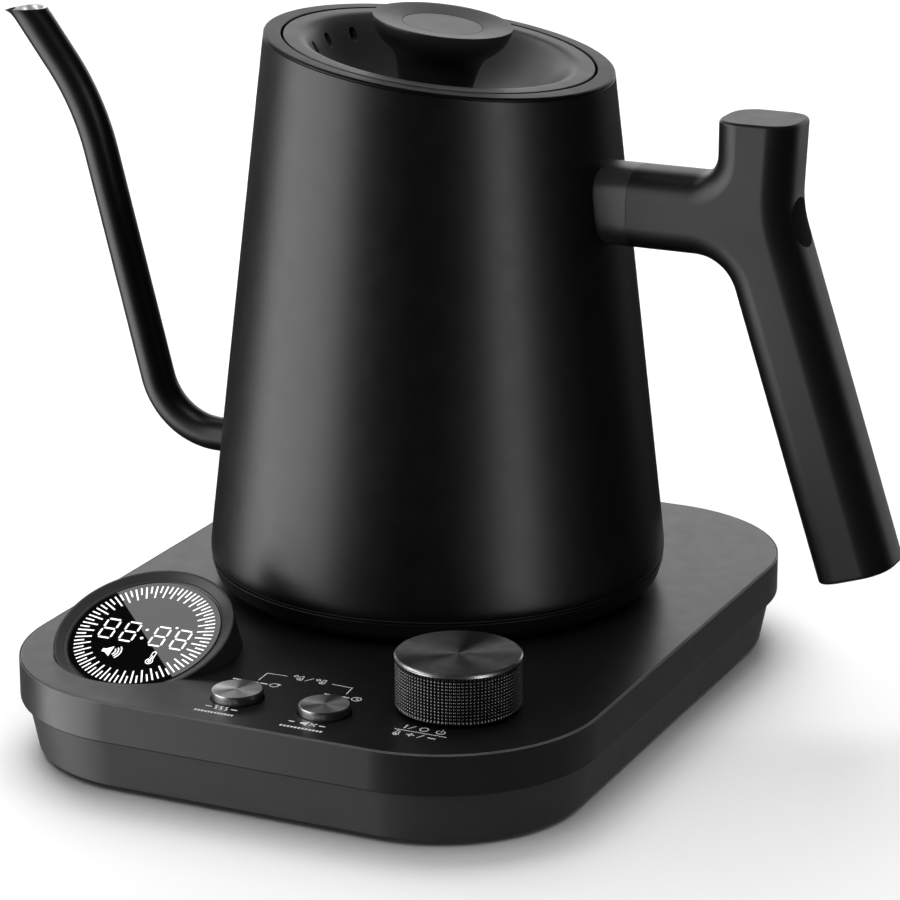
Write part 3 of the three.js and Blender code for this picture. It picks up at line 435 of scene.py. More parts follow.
def cross_screw(name, head, low, neck, high, body, place=IN_PART):
    """A pan-head screw with a crossed recess in its head, which faces down."""
    centre = middle(name).xy if place is IN_PART else (0, 0)
    line = rounded([(0, low), (head, low, 0.5), (head, neck), (1.5, neck), (1.5, high), (0, high)])
    made = raw(name + "_body", *turned(line, 32, centre), place)
    for turn in (0, 1):
        arm = (1.7, 0.35) if turn else (0.35, 1.7)
        slit = [(centre[0] + sx * arm[0], centre[1] + sy * arm[1]) for sx, sy in CORNERS]
        carve(made, raw("cutter", *prism(slit, low - 1, low + 0.8), place))
    return settle(made, body, "bright_steel", STEEL_MATTE, name)


for name in screws:
    cross_screw(name, 2.8, 2, 3.8, 18, "base")
for i in (1, 2, 3):
    cross_screw(f"bottom_screw_{i}", 2.8, SLAB_TOP + 0.5, SLAB_TOP + 2.2, SLAB_TOP + 14, "kettle")

# ---- Turned inner pieces, seen with the kettle or the lid lifted -----------------------------------

S = SLAB_TOP
socket = rounded([
    (0, 14.5), (22, 14.5), (22, S - 2.5), (16.5, S - 2.5), (16.5, S + 7, 1), (10.8, S + 7, 0.4),
    (10.8, 22), (8.2, 22), (8.2, S + 7, 0.4), (3.1, S + 7, 0.4), (3.1, 20), (0, 20)])
connector = [(0, S + 8.6), (2.6, S + 8.6), (2.6, S + 8.1), (17.2, S + 8.1), (17.2, S + 1), (19.2, S + 1),
             (19.2, S + 9.6), (20.6, S + 9.6), (20.6, S + 11.8), (0, S + 11.8)]
pin = rounded([(0, S - 1.6), (1.5, S - 1.6, 0.6), (2.2, S - 0.4, 0.4), (2.2, S + 8.3), (0, S + 8.3)])
TURNED_PIECES = {
    "power_socket": (socket, "base", "inner_plastic", INNER),
    "socket_sleeve": ([(2.8, 20.3), (2.8, 26), (2.4, 26), (2.4, 20.3)], "base", "brass", BRASS),
    "socket_track": ([(10.5, 22.3), (10.5, 23.3), (8.5, 23.3), (8.5, 22.3)], "base", "brass", BRASS),
    "plug_connector": (connector, "kettle_plug", "inner_plastic", INNER),
    "plug_pin": (pin, "kettle_plug", "brass", BRASS),
    "plug_ring": (
        [(9.9, S - 2), (9.9, S + 7.8), (9.1, S + 7.8), (9.1, S - 2)], "kettle_plug", "brass", BRASS),
    "heating_plate": (
        rounded([(0, S + 16), (59.7, S + 16), (59.7, S + 12.4), (60.9, S + 12.4), (60.9, S + 17.2, 0.5),
                 (57.5, S + 17.2, 1), (56, S + 16.7, 1), (0, S + 16.7)]),
        "kettle", "bright_steel", STEEL_MATTE),
}
for name, (line, body, slot, material) in TURNED_PIECES.items():
    settle(raw(name + "_turned", *turned(line, 96, middle(name).xy)), body, slot, material, name)

# ---- Kettle body -----------------------------------------------------------------------------------

BODY_SIDES = 256


def body_radius(height):
    return BODY_RADIUS - BODY_TAPER * (height - BODY_WIDEST)


def rim_point(angle, level, inside=0.0):
    """Where the body's cone, drawn in by an amount, meets a plane parallel to the slanted rim."""
    wide = body_radius(0) - inside
    lean = math.sin(RIM_TILT) * math.cos(angle)
    height = (level + RIM_X * math.sin(RIM_TILT) + RIM_HEIGHT * math.cos(RIM_TILT) - lean * wide) / (
        math.cos(RIM_TILT) - lean * BODY_TAPER)
    radius = wide - BODY_TAPER * height
    return Vector((radius * math.cos(angle), radius * math.sin(angle), height))


def body_row(share, inside):
    """A ring of the wall between its foot and just under the rim."""
    row = []
    for i in range(BODY_SIDES):
        angle = TAU * i / BODY_SIDES
        top = rim_point(angle, -1.3, inside)
        height = BODY_WIDEST + (top.z - BODY_WIDEST) * share
        radius = body_radius(height) - inside
        row.append((radius * math.cos(angle), radius * math.sin(angle), height))
    return row


def rim_row(level, inside):
    return [rim_point(TAU * i / BODY_SIDES, level, inside) for i in range(BODY_SIDES)]


SHARES = (0, 0.05, 0.12, 0.25, 0.5, 0.8, 1)
foot_ring = [circle(r, z, BODY_SIDES) for r, z in (
    (61.4, BODY_FOOT), (61.9, BODY_FOOT), (62.2, BODY_FOOT + 0.12), (62.45, BODY_FOOT + 0.5),
    (62.62, BODY_FOOT + 1.1), (62.71, BODY_FOOT + 1.9), (62.72, BODY_FOOT + 2.8), (62.64, BODY_FOOT + 4))]
EDGE = ((-1.0, 0.02), (-0.88, 0.12), (-0.86, 0.3), (-0.86, 0.9), (-1.0, BODY_WALL))
rows = [*foot_ring, *[body_row(s, 0) for s in SHARES[1:]], *[rim_row(*step) for step in EDGE],
        *[body_row(s, BODY_WALL) for s in reversed(SHARES)]]
body = raw("body_shell", *skin(rows), IN_KETTLE)
ON_SPOUT = IN_KETTLE @ Matrix.Translation((0, 0, SPOUT_Z)) @ Matrix.Rotation(-math.pi / 2, 4, "Y")
carve(body, rod(SPOUT_BORE, 50, 70, place=ON_SPOUT))
for face in body.data.polygons:
    point = face.center / MM - KETTLE
    face.material_index = int(point.xy.length < body_radius(point.z) - 0.6 and point.z > BODY_FOOT + 0.3)
settle(body, "kettle", "painted_steel", [PAINT, STEEL_MATTE], "kettle_body")

# The rim: one flange over the body's edge, with a collar that guides the lid
FLANGE = ((-0.72, 0.06), (-0.5, 0.0), (-0.25, 0.1), (-0.08, 0.32), (0.0, 0.7))
TO_RIM = Matrix.Translation((RIM_X, 0, RIM_HEIGHT)) @ Matrix.Rotation(RIM_TILT, 4, "Y")


def rim_circle(radius, level):
    """A ring in the rim's plane whose points face the body's points one to one."""
    row = []
    for i in range(BODY_SIDES):
        outer = TO_RIM.inverted() @ rim_point(TAU * i / BODY_SIDES, 0)
        flat = outer.xy.normalized() * radius
        row.append(TO_RIM @ Vector((*flat, level)))
    return row


neck_line = rounded([
    (45, 0), (NECK_RADIUS, 0, 0.35), (NECK_RADIUS, -13, 0.2), (44, -13), (44, -0.8), (45, -0.8)])
neck_rows = [*[rim_row(*step) for step in FLANGE], *[rim_circle(r, w) for r, w in neck_line[1:]],
             rim_row(-0.8, 0.3)]
rim = raw("rim_ring", *skin(neck_rows), IN_KETTLE)
settle(rim, "kettle", "painted_steel", RIM_PAINT, "neck_ring")

cover_line = rounded([
    (20.2, 0.3), (57, 0.3, 2), (61.3, 3, 2.5), (62.6, 7.3, 0.15), (61.3, 7.3), (61.3, 11.5),
    (59.8, 11.5), (59.8, 5), (20.2, 5)], closed=True)
cover = raw("bottom_cover_shell", *turned(cover_line, 192), IN_KETTLE)
for i in (1, 2, 3):
    carve(cover, rod(3.2, S - 1, S + 2.4, middle(f"bottom_screw_{i}").xy))
settle(cover, "kettle", "plinth_plastic", COVER, "bottom_cover")

# ---- Spout -----------------------------------------------------------------------------------------

SPOUT_SIDES = 48
knee = Vector((KNEE_X, SPOUT_Z))
neck_bend = Vector((KNEE_X - (NECK_BEND_Z - SPOUT_Z) * math.tan(SPOUT_LEAN), NECK_BEND_Z))
tip = Vector((neck_bend.x - (TIP_Z - NECK_BEND_Z) * math.tan(TIP_LEAN), TIP_Z))
tip_way = (tip - neck_bend).normalized()
TIP_RUN = 9.0
last = tip - tip_way * TIP_RUN
root = [Vector((x, SPOUT_Z)) for x in (-59.4, -60.6, -61.2, -62, -63.4, -65)]
route = [*root, *fillet(root[0], knee, neck_bend, 20, 24), *fillet(knee, neck_bend, tip, 70, 14), last]
WELD = [1.7, 1.3, 0.75, 0.3, 0.06]


def spout_ring(index, radius):
    """A ring square to the spout's centreline."""
    here = route[index]
    before, after = route[max(0, index - 1)], route[min(len(route) - 1, index + 1)]
    way = (after - before).normalized()
    side = Vector((-way.y, way.x))
    grown = radius + (WELD[index] if index < len(WELD) and radius > SPOUT_BORE else 0)
    return [Vector((here.x + side.x * grown * math.cos(a), grown * math.sin(a),
                    here.y + side.y * grown * math.cos(a)))
            for a in (TAU * i / SPOUT_SIDES for i in range(SPOUT_SIDES))]


def tip_ring(share, radius, thin=0.0):
    """A ring of the tip's run, from square to the centreline to the level mouth, with its pouring beak."""
    side = Vector((-tip_way.y, tip_way.x))
    ring = []
    for i in range(SPOUT_SIDES):
        angle = TAU * i / SPOUT_SIDES
        beak = max(0, (1 + math.cos(angle)) / 2) ** 3
        start = Vector((last.x + side.x * radius * math.cos(angle),
                        last.y + side.y * radius * math.cos(angle)))
        mouth = TIP_Z - BEAK_DIP * beak
        run = (mouth - start.y) / tip_way.y
        down = run * (1 - share) * tip_way.y
        flare = BEAK * beak * max(0, 1 - down / 3.4) ** 3 + 0.25 * max(0, 1 - down / 4) ** 2 + thin * share
        here = start + tip_way * run * share + side * flare
        lateral = (radius + thin * share + 0.25 * max(0, 1 - down / 4) ** 2) * math.sin(angle)
        ring.append(Vector((here.x, lateral, here.y)))
    return ring


TIP_SHARES = (0.12, 0.25, 0.4, 0.52, 0.62, 0.7, 0.77, 0.83, 0.88, 0.92, 0.95, 0.975, 1)
outer = [spout_ring(i, SPOUT_RADIUS) for i in range(len(route))]
outer += [tip_ring(s, SPOUT_RADIUS) for s in TIP_SHARES]
inner = [spout_ring(i, SPOUT_BORE) for i in range(len(route))]
inner += [tip_ring(s, SPOUT_BORE, thin=0.35) for s in TIP_SHARES]
spout = raw("spout", *skin([*outer, *reversed(inner)]), IN_KETTLE)
for face in spout.data.polygons:
    face.material_index = int(face.index >= (len(outer) - 1) * SPOUT_SIDES)
settle(spout, "kettle", "painted_steel", [PAINT, MOUTH_STEEL], "spout_tube", sharp=50)

# ---- Handle ----------------------------------------------------------------------------------------

down = Vector((math.sin(GRIP_LEAN), -math.cos(GRIP_LEAN)))
across = Vector((math.cos(GRIP_LEAN), math.sin(GRIP_LEAN)))


def on_grip(along, side):
    return Vector((GRIP_X, ARM_Z)) + down * along + across * side


def meet(p, u, q, v):
    """Where the line through p along u meets the line through q along v."""
    gap = q - p
    return p + u * ((gap.x * v.y - gap.y * v.x) / (u.x * v.y - u.y * v.x))


EXTRA = 12  # the blank runs this much past each end, then is cut square
level_way, outer_up = Vector((1, 0)), Vector((math.sin(STUB_LEAN), math.cos(STUB_LEAN)))
outer_foot = Vector((GRIP_X + HANDLE_HALF - 0.6, ARM_Z + 2))
arm_low = Vector((ARM_START - EXTRA, ARM_Z - HANDLE_HALF))
handle_corners = [
    (*meet(outer_foot, outer_up, Vector((0, STUB_TOP + EXTRA)), level_way),),
    (GRIP_X - HANDLE_HALF, STUB_TOP + EXTRA),
    (GRIP_X - HANDLE_HALF, ARM_Z + HANDLE_HALF, 6),
    (ARM_START - EXTRA, ARM_Z + HANDLE_HALF),
    (*arm_low,),
    (*meet(arm_low, level_way, on_grip(0, -HANDLE_HALF), down), 11.5),
    (*on_grip(GRIP_LENGTH + EXTRA, -HANDLE_HALF),),
    (*on_grip(GRIP_LENGTH + EXTRA, HANDLE_HALF),),
    (*meet(outer_foot, outer_up, on_grip(0, HANDLE_HALF), down), 30),
]


def squircle(steps):
    """A quarter of the handle's section, which is between a circle and a square, from (1, 0) to (0, 1)."""
    return [(math.cos(t) ** (2 / HANDLE_POWER), math.sin(t) ** (2 / HANDLE_POWER))
            for t in (math.pi / 2 * (i / steps) for i in range(steps + 1))]


def rolled(corners, steps=16):
    """A side view given thickness about y = 0, its long edges rolled over."""
    line = rounded(corners, closed=True, steps=12)
    count = len(line)
    area = sum(a.x * b.y - b.x * a.y for a, b in zip(line, line[1:] + line[:1]))
    ways = []
    for i in range(count):
        one, two = (line[i] - line[i - 1]).normalized(), (line[(i + 1) % count] - line[i]).normalized()
        normals = [Vector((-w.y, w.x)) * math.copysign(1, area) for w in (one, two)]
        ways.append((normals[0] + normals[1]) / (1 + normals[0].dot(normals[1])))
    levels = [(HANDLE_HALF * (1 - out), HANDLE_HALF * up) for out, up in squircle(steps) if out > 0.22]
    flanks = [(inset, -y) for inset, y in reversed(levels)] + [(inset, y) for inset, y in levels[1:]]
    return capped([[(p.x + w.x * inset, y, p.y + w.y * inset) for p, w in zip(line, ways)]
                   for inset, y in flanks])


def cut_flat(made, point, normal, bevel):
    """Cuts a piece off square at a plane and rounds the new edge."""
    sculpt = bmesh.new()
    sculpt.from_mesh(made.data)
    everything = [*sculpt.verts, *sculpt.edges, *sculpt.faces]
    cut = bmesh.ops.bisect_plane(
        sculpt, geom=everything, plane_co=point, plane_no=normal, clear_outer=True, dist=1e-8)
    brink = [e for e in cut["geom_cut"] if isinstance(e, bmesh.types.BMEdge)]
    bmesh.ops.edgeloop_fill(sculpt, edges=brink)
    brink = [e for e in brink if e.is_valid]
    bmesh.ops.bevel(
        sculpt, geom=brink, offset=bevel * MM, segments=4, profile=0.5, affect="EDGES", clamp_overlap=False)
    bmesh.ops.recalc_face_normals(sculpt, faces=sculpt.faces)
    sculpt.to_mesh(made.data)
    sculpt.free()


def in_kettle(x, z):
    return (IN_KETTLE @ Vector((x, 0, z))) * MM


def handle_blank(name):
    made = raw(name, *rolled(handle_corners), IN_KETTLE)
    cut_flat(made, in_kettle(ARM_START, ARM_Z), (-1, 0, 0), 0.05)
    cut_flat(made, in_kettle(GRIP_X, STUB_TOP), (0, 0, 1), 1.0)
    cut_flat(made, in_kettle(*on_grip(GRIP_LENGTH, 0)), (down.x, 0, down.y), 0.9)
    return made


ON_ARM = IN_KETTLE @ Matrix.Translation((0, 0, ARM_Z)) @ Matrix.Rotation(math.pi / 2, 4, "Y")
plug = carve(handle_blank("grip_plug"), rod(PLUG_RADIUS, 99, 125, place=ON_ARM, sides=64), "INTERSECT")
settle(plug, "kettle", "collar_plastic", PLUG, "handle_plug")
grip = carve(handle_blank("grip_moulding"), rod(PLUG_RADIUS + 0.18, 98.5, 125, place=ON_ARM, sides=64))
settle(grip, "kettle", "handle_plastic", HANDLE, "handle_grip")

quarter = [Vector(p) * HANDLE_HALF for p in squircle(10)][:-1]
SECTION = [Matrix.Rotation(math.pi / 2 * turn, 2) @ p for turn in range(4) for p in quarter]


def collar_row(share):
    """The handle's section, at a share of the way from the body's side to the arm."""
    row = []
    for y, z in SECTION:
        wall = math.sqrt(body_radius(ARM_Z + z) ** 2 - y**2) - 0.3
        row.append((wall + (ARM_START - 0.04 - wall) * share, y, ARM_Z + z))
    return row


collar = raw("arm_collar", *capped([collar_row(share) for share in (0, 0.3, 0.6, 0.9, 1)]), IN_KETTLE)
settle(collar, "kettle", "collar_plastic", COLLAR, "handle_collar", sharp=50)

# ---- Lid -------------------------------------------------------------------------------------------

bowl = smooth_line([(38.2, 0), (36.6, -0.35), (34.9, -1.7), (33.0, -4.2), (30.8, -7.4), (27.8, -10.9),
                    (23.8, -14.1), (19.0, -15.9), (14.0, -BOWL_DEPTH)], 6)
under = [(r + 1.3, w - 1.5) for r, w in bowl[6:]]
lid_line = [(2, -BOWL_DEPTH), *reversed(bowl),
            *rounded([(39, 0), (LID_RADIUS, 0, 0.35), (LID_RADIUS, -8), (40.4, -8), (40.4, -1.6)])[1:],
            *under, (2, -BOWL_DEPTH - 1.6)]
lid = raw("lid_dish", *turned(lid_line, 192), IN_LID)
for degrees in (160, 180, 200):
    turn = IN_LID @ Matrix.Rotation(math.radians(degrees), 4, "Z") @ Matrix.Rotation(math.pi / 2, 4, "Y")
    slot_shape = rounded([(sx * 1.85 + 4.6, sy * 1.3, 1.25) for sx, sy in CORNERS], closed=True, steps=6)
    carve(lid, raw("cutter", *prism(slot_shape, 25, 38.5), turn))
settle(lid, "lid", "lid_plastic", LID, "lid_cover", sharp=40)

stem = smooth_line([(9.7, -12), (10.2, -8.5), (10.9, -5.2), (11.7, -2.6), (13.0, -0.7), (15.1, 1.0),
                    (17.0, 3.0), (18.2, 5.2), (18.75, 7.3)], 5)
knob_top = rounded(
    [(18.75, 7.4), (18.8, 7.88, 0.12), (17.2, 7.75), (10.9, 6.85, 0.1), (10.9, 5.5)], steps=3)
knob_line = [(0, 0.3 - BOWL_DEPTH), (9.7, 0.3 - BOWL_DEPTH), *stem, *knob_top, (0, 5.5)]
knob = settle(raw("knob_body", *turned(knob_line, 128), IN_LID), "lid", "lid_plastic", LID, "lid_knob")
disc_line = rounded([(0, 5.8), (10.78, 5.8), (10.78, 6.82, 0.12), (0, 6.82)])
settle(raw("knob_inlay", *turned(disc_line, 96), IN_LID), "lid", "lid_plastic", LID_TOP, "knob_disc")
gasket = rounded([(38, -8.3), (41.6, -8.3), (42, -9.4, 0.3), (41, -9.8, 0.3), (42, -10.6, 0.3),
                  (41.4, -11.4), (38, -11.4)], closed=True, steps=3)
settle(raw("lid_seal", *turned(gasket, 128), IN_LID), "lid", "silicone", SILICONE, "lid_gasket")
under_pan = rounded([(0, -20), (27, -20, 3), (36, -12.8, 2), (41.2, -12.8), (41.2, -11.8),
                     (36.4, -11.8, 2), (27.4, -19, 2), (4, -19), (4, -19.8), (0, -19.8)])
pan = raw("lid_pan", *turned(under_pan, 128), IN_LID)
settle(pan, "lid", "bright_steel", STEEL_MATTE, "lid_underside")
cross_screw("lid_screw", 3.2, -19.6, -18.4, -2, "lid", IN_LID)

# ---- Display ---------------------------------------------------------------------------------------

bezel_line = rounded([
    (20.5, -BEZEL_DEPTH), (BEZEL_RADIUS, -BEZEL_DEPTH), (BEZEL_RADIUS, BEZEL_TOP, 0.35),
    (BEZEL_RADIUS - 0.8, BEZEL_TOP, 0.3),
    (21.3, 0.1, 0.3), (20.9, 0.05, 0.1), (20.5, -0.3)], closed=True)
ring = raw("display_ring", *turned(bezel_line, 160), IN_DISPLAY)
BELOW = ((-120, -120), (60, -120), (60, 60), (-120, 60))  # all round the display, inside the base
carve(ring, raw("cutter", *prism(BELOW, -20, BEZEL_FOOT_Z)))
settle(ring, "base", "base_plastic", BEZEL, "display_bezel")
glass_line = rounded([(0, -1.5), (GLASS_RADIUS + 0.2, -1.5), (GLASS_RADIUS + 0.2, 0, 0.2), (0, 0)])
lens = raw("display_lens", *turned(glass_line, 128), IN_DISPLAY)
settle(lens, "base", "display_window", GLASS, "display_glass")

TICKS = 80
LOW, HIGH = 0.01, 0.06


def bar(a, b, width, ends=0.0):
    """A straight stroke between two points, its ends pointed by an amount, as a thin plate."""
    a, b = Vector(a), Vector(b)
    way = (b - a).normalized()
    side = Vector((-way.y, way.x)) * width / 2
    if ends:
        line = [a, a + way * ends - side, b - way * ends - side,
                b, b - way * ends + side, a + way * ends + side]
    else:
        line = [a - side, b - side, b + side, a + side]
    return prism(line, LOW, HIGH)


def ribbon(points, width, closed=False):
    """A stroke of even width along a line, as a thin plate."""
    points = [Vector(p) for p in points]
    count = len(points)
    left, right = [], []
    for i, here in enumerate(points):
        before = points[i - 1] if closed or i else here - (points[1] - here)
        after = points[(i + 1) % count] if closed or i < count - 1 else here + (here - points[i - 1])
        one, two = (here - before).normalized(), (after - here).normalized()
        n1, n2 = Vector((-one.y, one.x)), Vector((-two.y, two.x))
        offset = (n1 + n2) / max(0.3, 1 + n1.dot(n2)) * width / 2
        left.append(here + offset)
        right.append(here - offset)
    if not closed:
        return prism([*left, *reversed(right)], LOW, HIGH)
    rows = ((left, LOW), (left, HIGH), (right, HIGH), (right, LOW))
    return skin([[(p.x, p.y, z) for p in row] for row, z in rows])


def arc(centre, radius, start, end, steps=16):
    return [(centre[0] + radius * math.cos(math.radians(start + (end - start) * i / steps)),
             centre[1] + radius * math.sin(math.radians(start + (end - start) * i / steps)))
            for i in range(steps + (abs(end - start) < 360))]


def disc(centre, radius, sides=20):
    return prism([p[:2] for p in circle(radius, 0, sides, centre)], LOW, HIGH)


def at(points, x, y, scale=1.0):
    return [(x + px * scale, y + py * scale) for px, py in points]


marks = []
for i in range(TICKS):
    angle = TAU * (i + 0.5) / TICKS
    way = Vector((math.cos(angle), math.sin(angle)))
    marks.append(bar(way * (14.3 if i % 2 else 16.2), way * 18.9, 0.44))
HALF_DIGIT, DIGIT_RISE = 1.85, 3.55
for x in (-10.45, -4.2, 4.6, 10.85):
    for y in (-1, 0, 1):
        flat_y = y * DIGIT_RISE
        marks.append(bar((x - HALF_DIGIT + 0.1, flat_y), (x + HALF_DIGIT - 0.1, flat_y), 0.58, 0.27))
    for sx in (-1, 1):
        for low_y in (-DIGIT_RISE, 0):
            marks.append(bar((x + sx * HALF_DIGIT, low_y + 0.42),
                             (x + sx * HALF_DIGIT, low_y + DIGIT_RISE - 0.42), 0.58, 0.27))
marks += [disc((0.05, y), 0.45) for y in (-1.6, 1.65)]
marks.append(disc((7.7, 4.1), 0.4))
speaker = [(-8.4, -8.7), (-8.4, -7.5), (-7.5, -7.5), (-5.7, -6.2), (-5.7, -10.0), (-7.5, -8.7)]
marks.append(prism(speaker, LOW, HIGH))
marks += [ribbon(arc((-6.2, -8.1), r, -42, 42), 0.36) for r in (1.6, 2.4, 3.2)]
bulb = [(5.75, -9.0), *arc((6.2, -9.4), 0.95, 125, 415, 20),
        (6.75, -6.2), *arc((6.25, -6.2), 0.5, 0, 180, 8)]
marks.append(ribbon(bulb, 0.28, closed=True))
marks.append(disc((6.2, -9.4), 0.5))
marks.append(bar((6.22, -9.2), (6.25, -7.2), 0.3))
settle(raw("display_marks", *merged(marks), IN_DISPLAY), "base", None, GLOW)

# ---- Printed marks on the slab ---------------------------------------------------------------------

FINE = 0.26
prints = []


def dashes(x0, x1, y, count, height, gap=0.35):
    """A row of short dashes, standing where a line of small print would be."""
    step = (x1 - x0) / count
    for i in range(count):
        prints.append(bar((x0 + step * i + gap / 2, y), (x0 + step * (i + 1) - gap / 2, y), height))


def print_ring(x, y, radius, start=0, end=360):
    whole = abs(end - start) >= 360
    prints.append(ribbon(arc((x, y), radius, start, end, 24), FINE, closed=whole))


hold_x, mute_x, dial_x = BUTTONS["hold"].x, BUTTONS["mute"].x, DIAL.x


def thermometer(x, y, height):
    """A small outlined thermometer."""
    edge = [*arc((x, y), 0.75, 125, 415, 14), *arc((x, y + height), 0.42, 0, 180, 8)]
    prints.append(ribbon(edge, FINE, closed=True))
    prints.append(disc((x, y), 0.35, 12))


def fine_rule(x0, x1, y):
    """A ruler-like row of fine bars, where the real panel has its smallest print."""
    dashes(x0, x1, y, 12, 0.95)


# under the left button: rising warmth between two dashes
for dx in (-1.5, 0, 1.5):
    wave = [(hold_x - 0.2 + dx + 0.36 * math.sin(t * TAU / 10), -97.1 + 2.4 * t / 10) for t in range(11)]
    prints.append(ribbon(wave, 0.36))
for sx in (-1, 1):
    prints.append(bar((hold_x - 0.2 + sx * 2.7, -95.9), (hold_x - 0.2 + sx * 4.5, -95.9), 0.45))
fine_rule(hold_x - 6.1, hold_x + 5.1, -99.4)
# under the right button: a crossed speaker between two dashes
horn = [(-1.4, -0.5), (-1.4, 0.5), (-0.6, 0.5), (0.5, 1.3), (0.5, -1.3), (-0.6, -0.5)]
prints.append(prism(at(horn, mute_x - 0.9, -96.4), LOW, HIGH))
for sx in (-1, 1):
    prints.append(bar((mute_x + 0.2, -96.4 - sx * 0.85), (mute_x + 2.0, -96.4 + sx * 0.85), 0.36))
    prints.append(bar((mute_x - 0.6 + sx * 3.4, -96.4), (mute_x - 0.6 + sx * 5.1, -96.4), 0.45))
fine_rule(mute_x - 6.6, mute_x + 5.4, -99.7)
# behind the left button: a turned-back arrow and dashes
print_ring(hold_x + 4.6, -76.4, 1.15, 60, 370)
prints.append(prism(at([(-0.1, -0.75), (0.9, -0.1), (-0.2, 0.55)], hold_x + 5.3, -75.5), LOW, HIGH))
dashes(hold_x - 7.5, hold_x + 2.8, -76.4, 4, 0.5)
# behind the right button: a clock and dashes
print_ring(mute_x + 3.2, -76.3, 1.25)
prints.append(ribbon([(mute_x + 3.2, -75.4), (mute_x + 3.2, -76.3), (mute_x + 3.9, -76.7)], FINE))
dashes(mute_x - 6.1, mute_x + 1.4, -76.3, 3, 0.5)
# the link between the two, with its pair of temperature scales
prints.append(ribbon([(-6.5, -74.85), (-6.7, -69.45), (-1.1, -69.15)], FINE))
prints.append(ribbon([(11.9, -69.45), (17.8, -69.75), (18.3, -74.15)], FINE))
for x in (1.1, 7.5):
    print_ring(x, -68.3, 0.55)
    thermometer(x + 1.7, -69.8, 1.7)
prints.append(bar((4.5, -70.4), (6.0, -67.9), FINE))
# under the dial: on and off over warmer and cooler
prints.append(bar((dial_x - 6.1, -88.9), (dial_x - 6.1, -86.5), 0.42))
prints.append(bar((dial_x - 5.1, -88.9), (dial_x - 3.7, -86.5), FINE))
prints.append(ribbon(arc((dial_x - 1.1, -87.7), 1.1, 0, 360, 24), 0.36, closed=True))
prints.append(ribbon(arc((dial_x + 3.4, -87.7), 1.1, 125, 415, 24), 0.36))
prints.append(bar((dial_x + 3.4, -87.6), (dial_x + 3.4, -86.1), 0.36))
prints.append(bar((dial_x - 8.2, -90.05), (dial_x + 6.1, -90.05), 0.26))
thermometer(dial_x - 6.4, -92.9, 1.6)
prints.append(bar((dial_x - 3.9, -92.15), (dial_x - 1.7, -92.15), 0.4))
prints.append(bar((dial_x - 2.8, -93.25), (dial_x - 2.8, -91.05), 0.4))
prints.append(bar((dial_x - 0.6, -93.25), (dial_x + 0.6, -91.05), FINE))
prints.append(bar((dial_x + 1.9, -92.15), (dial_x + 4.1, -92.15), 0.4))
settle(raw("panel_print", *merged(prints), Matrix.Translation((0, 0, SLAB_TOP))), "base", None, PRINT)

# ---- Buttons and dial ------------------------------------------------------------------------------

caps = []
for name, spot in BUTTONS.items():
    cap = rounded([(0, 22.5), (BUTTON_RADIUS - 0.2, 22.5), (BUTTON_RADIUS, BUTTON_TOP - 1.1, 0.2),
                   (BUTTON_RADIUS, BUTTON_TOP, 0.35), (0, BUTTON_TOP)], steps=5)
    made = raw(name + "_cap", *turned(cap, 96, spot.xy))
    for face in made.data.polygons:
        centre = face.center / MM
        face.material_index = int((centre - spot).xy.length > BUTTON_RADIUS - 0.33)
    caps.append(settle(made, name + "_key", "gunmetal", [SPUN_BRIGHT_PAINTED_SHEEN, EDGE_METAL], name + "_button"))

KNURLS, KNURL_ROWS, KNURL_DEPTH, FINER = 102, 14, 0.45, 4
knurl_low, knurl_high = DIAL_TOP - 13.2, DIAL_TOP - 1.15


def zigzag(x):
    return 1 - 2 * abs(x % 1 - 0.5)


def dial_circles(points):
    return [circle(r, z, KNURLS * FINER, DIAL.xy) for r, z in points]


dial_rows = dial_circles(rounded([
    (13.4, DIAL_TOP - 13.6), (DIAL_RADIUS - 0.9, DIAL_TOP - 13.6, 0.3), (DIAL_RADIUS - 0.5, knurl_low)]))
for j in range(KNURL_ROWS * FINER + 1):
    row = []
    for i in range(KNURLS * FINER):
        u, v = i / FINER, j / FINER
        fade = min(1, j / 2, (KNURL_ROWS * FINER - j) / 2)
        height = min(1, 1.4 * min(zigzag(u), zigzag(v)))
        radius = DIAL_RADIUS - 0.12 - KNURL_DEPTH * (1 - height) * fade
        angle = TAU * i / (KNURLS * FINER)
        level = knurl_low + (knurl_high - knurl_low) * j / (KNURL_ROWS * FINER)
        row.append((DIAL.x + radius * math.cos(angle), DIAL.y + radius * math.sin(angle), level))
    dial_rows.append(row)
dial_edge = rounded([
    (DIAL_RADIUS - 0.15, knurl_high + 0.1), (DIAL_RADIUS, DIAL_TOP - 0.45, 0.1),
    (DIAL_RADIUS - 0.4, DIAL_TOP, 0.12), (DIAL_RADIUS - 1.6, DIAL_TOP), (0.05, DIAL_TOP - 0.25)], steps=3)
dial_rows += dial_circles([*dial_edge, (0.05, DIAL_TOP - 2), (13.4, DIAL_TOP - 2)])
dial = raw("dial_cap", *skin(dial_rows))
first_knurl = (len(dial_rows) - len(dial_edge) - 3 - KNURL_ROWS * FINER) * KNURLS * FINER
for face in dial.data.polygons:
    centre = face.center / MM
    column, level = face.index % FINER, (face.index - first_knurl) // (KNURLS * FINER)
    # The dial's top takes the spun metal with its painted sheen streaks.
    if centre.z > knurl_high + 0.15:  # the top is spun, inside its polished edge
        face.material_index = 1 if (centre - DIAL).xy.length < DIAL_RADIUS - 0.6 else 2
    # faces down in the grooves take the darker colour: painted shade
    elif 0 <= level < KNURL_ROWS * FINER and (column in (0, FINER - 1) or level % FINER in (0, FINER - 1)):
        face.material_index = 3
settle(dial, "dial", "gunmetal", [GUNMETAL, SPUN_PAINTED_SHEEN, EDGE_METAL, GROOVE_SHADE_METAL], "dial_shell", sharp=60)

# ---- CAD nodes that stay: finishes by node name -----------------------------------------------------

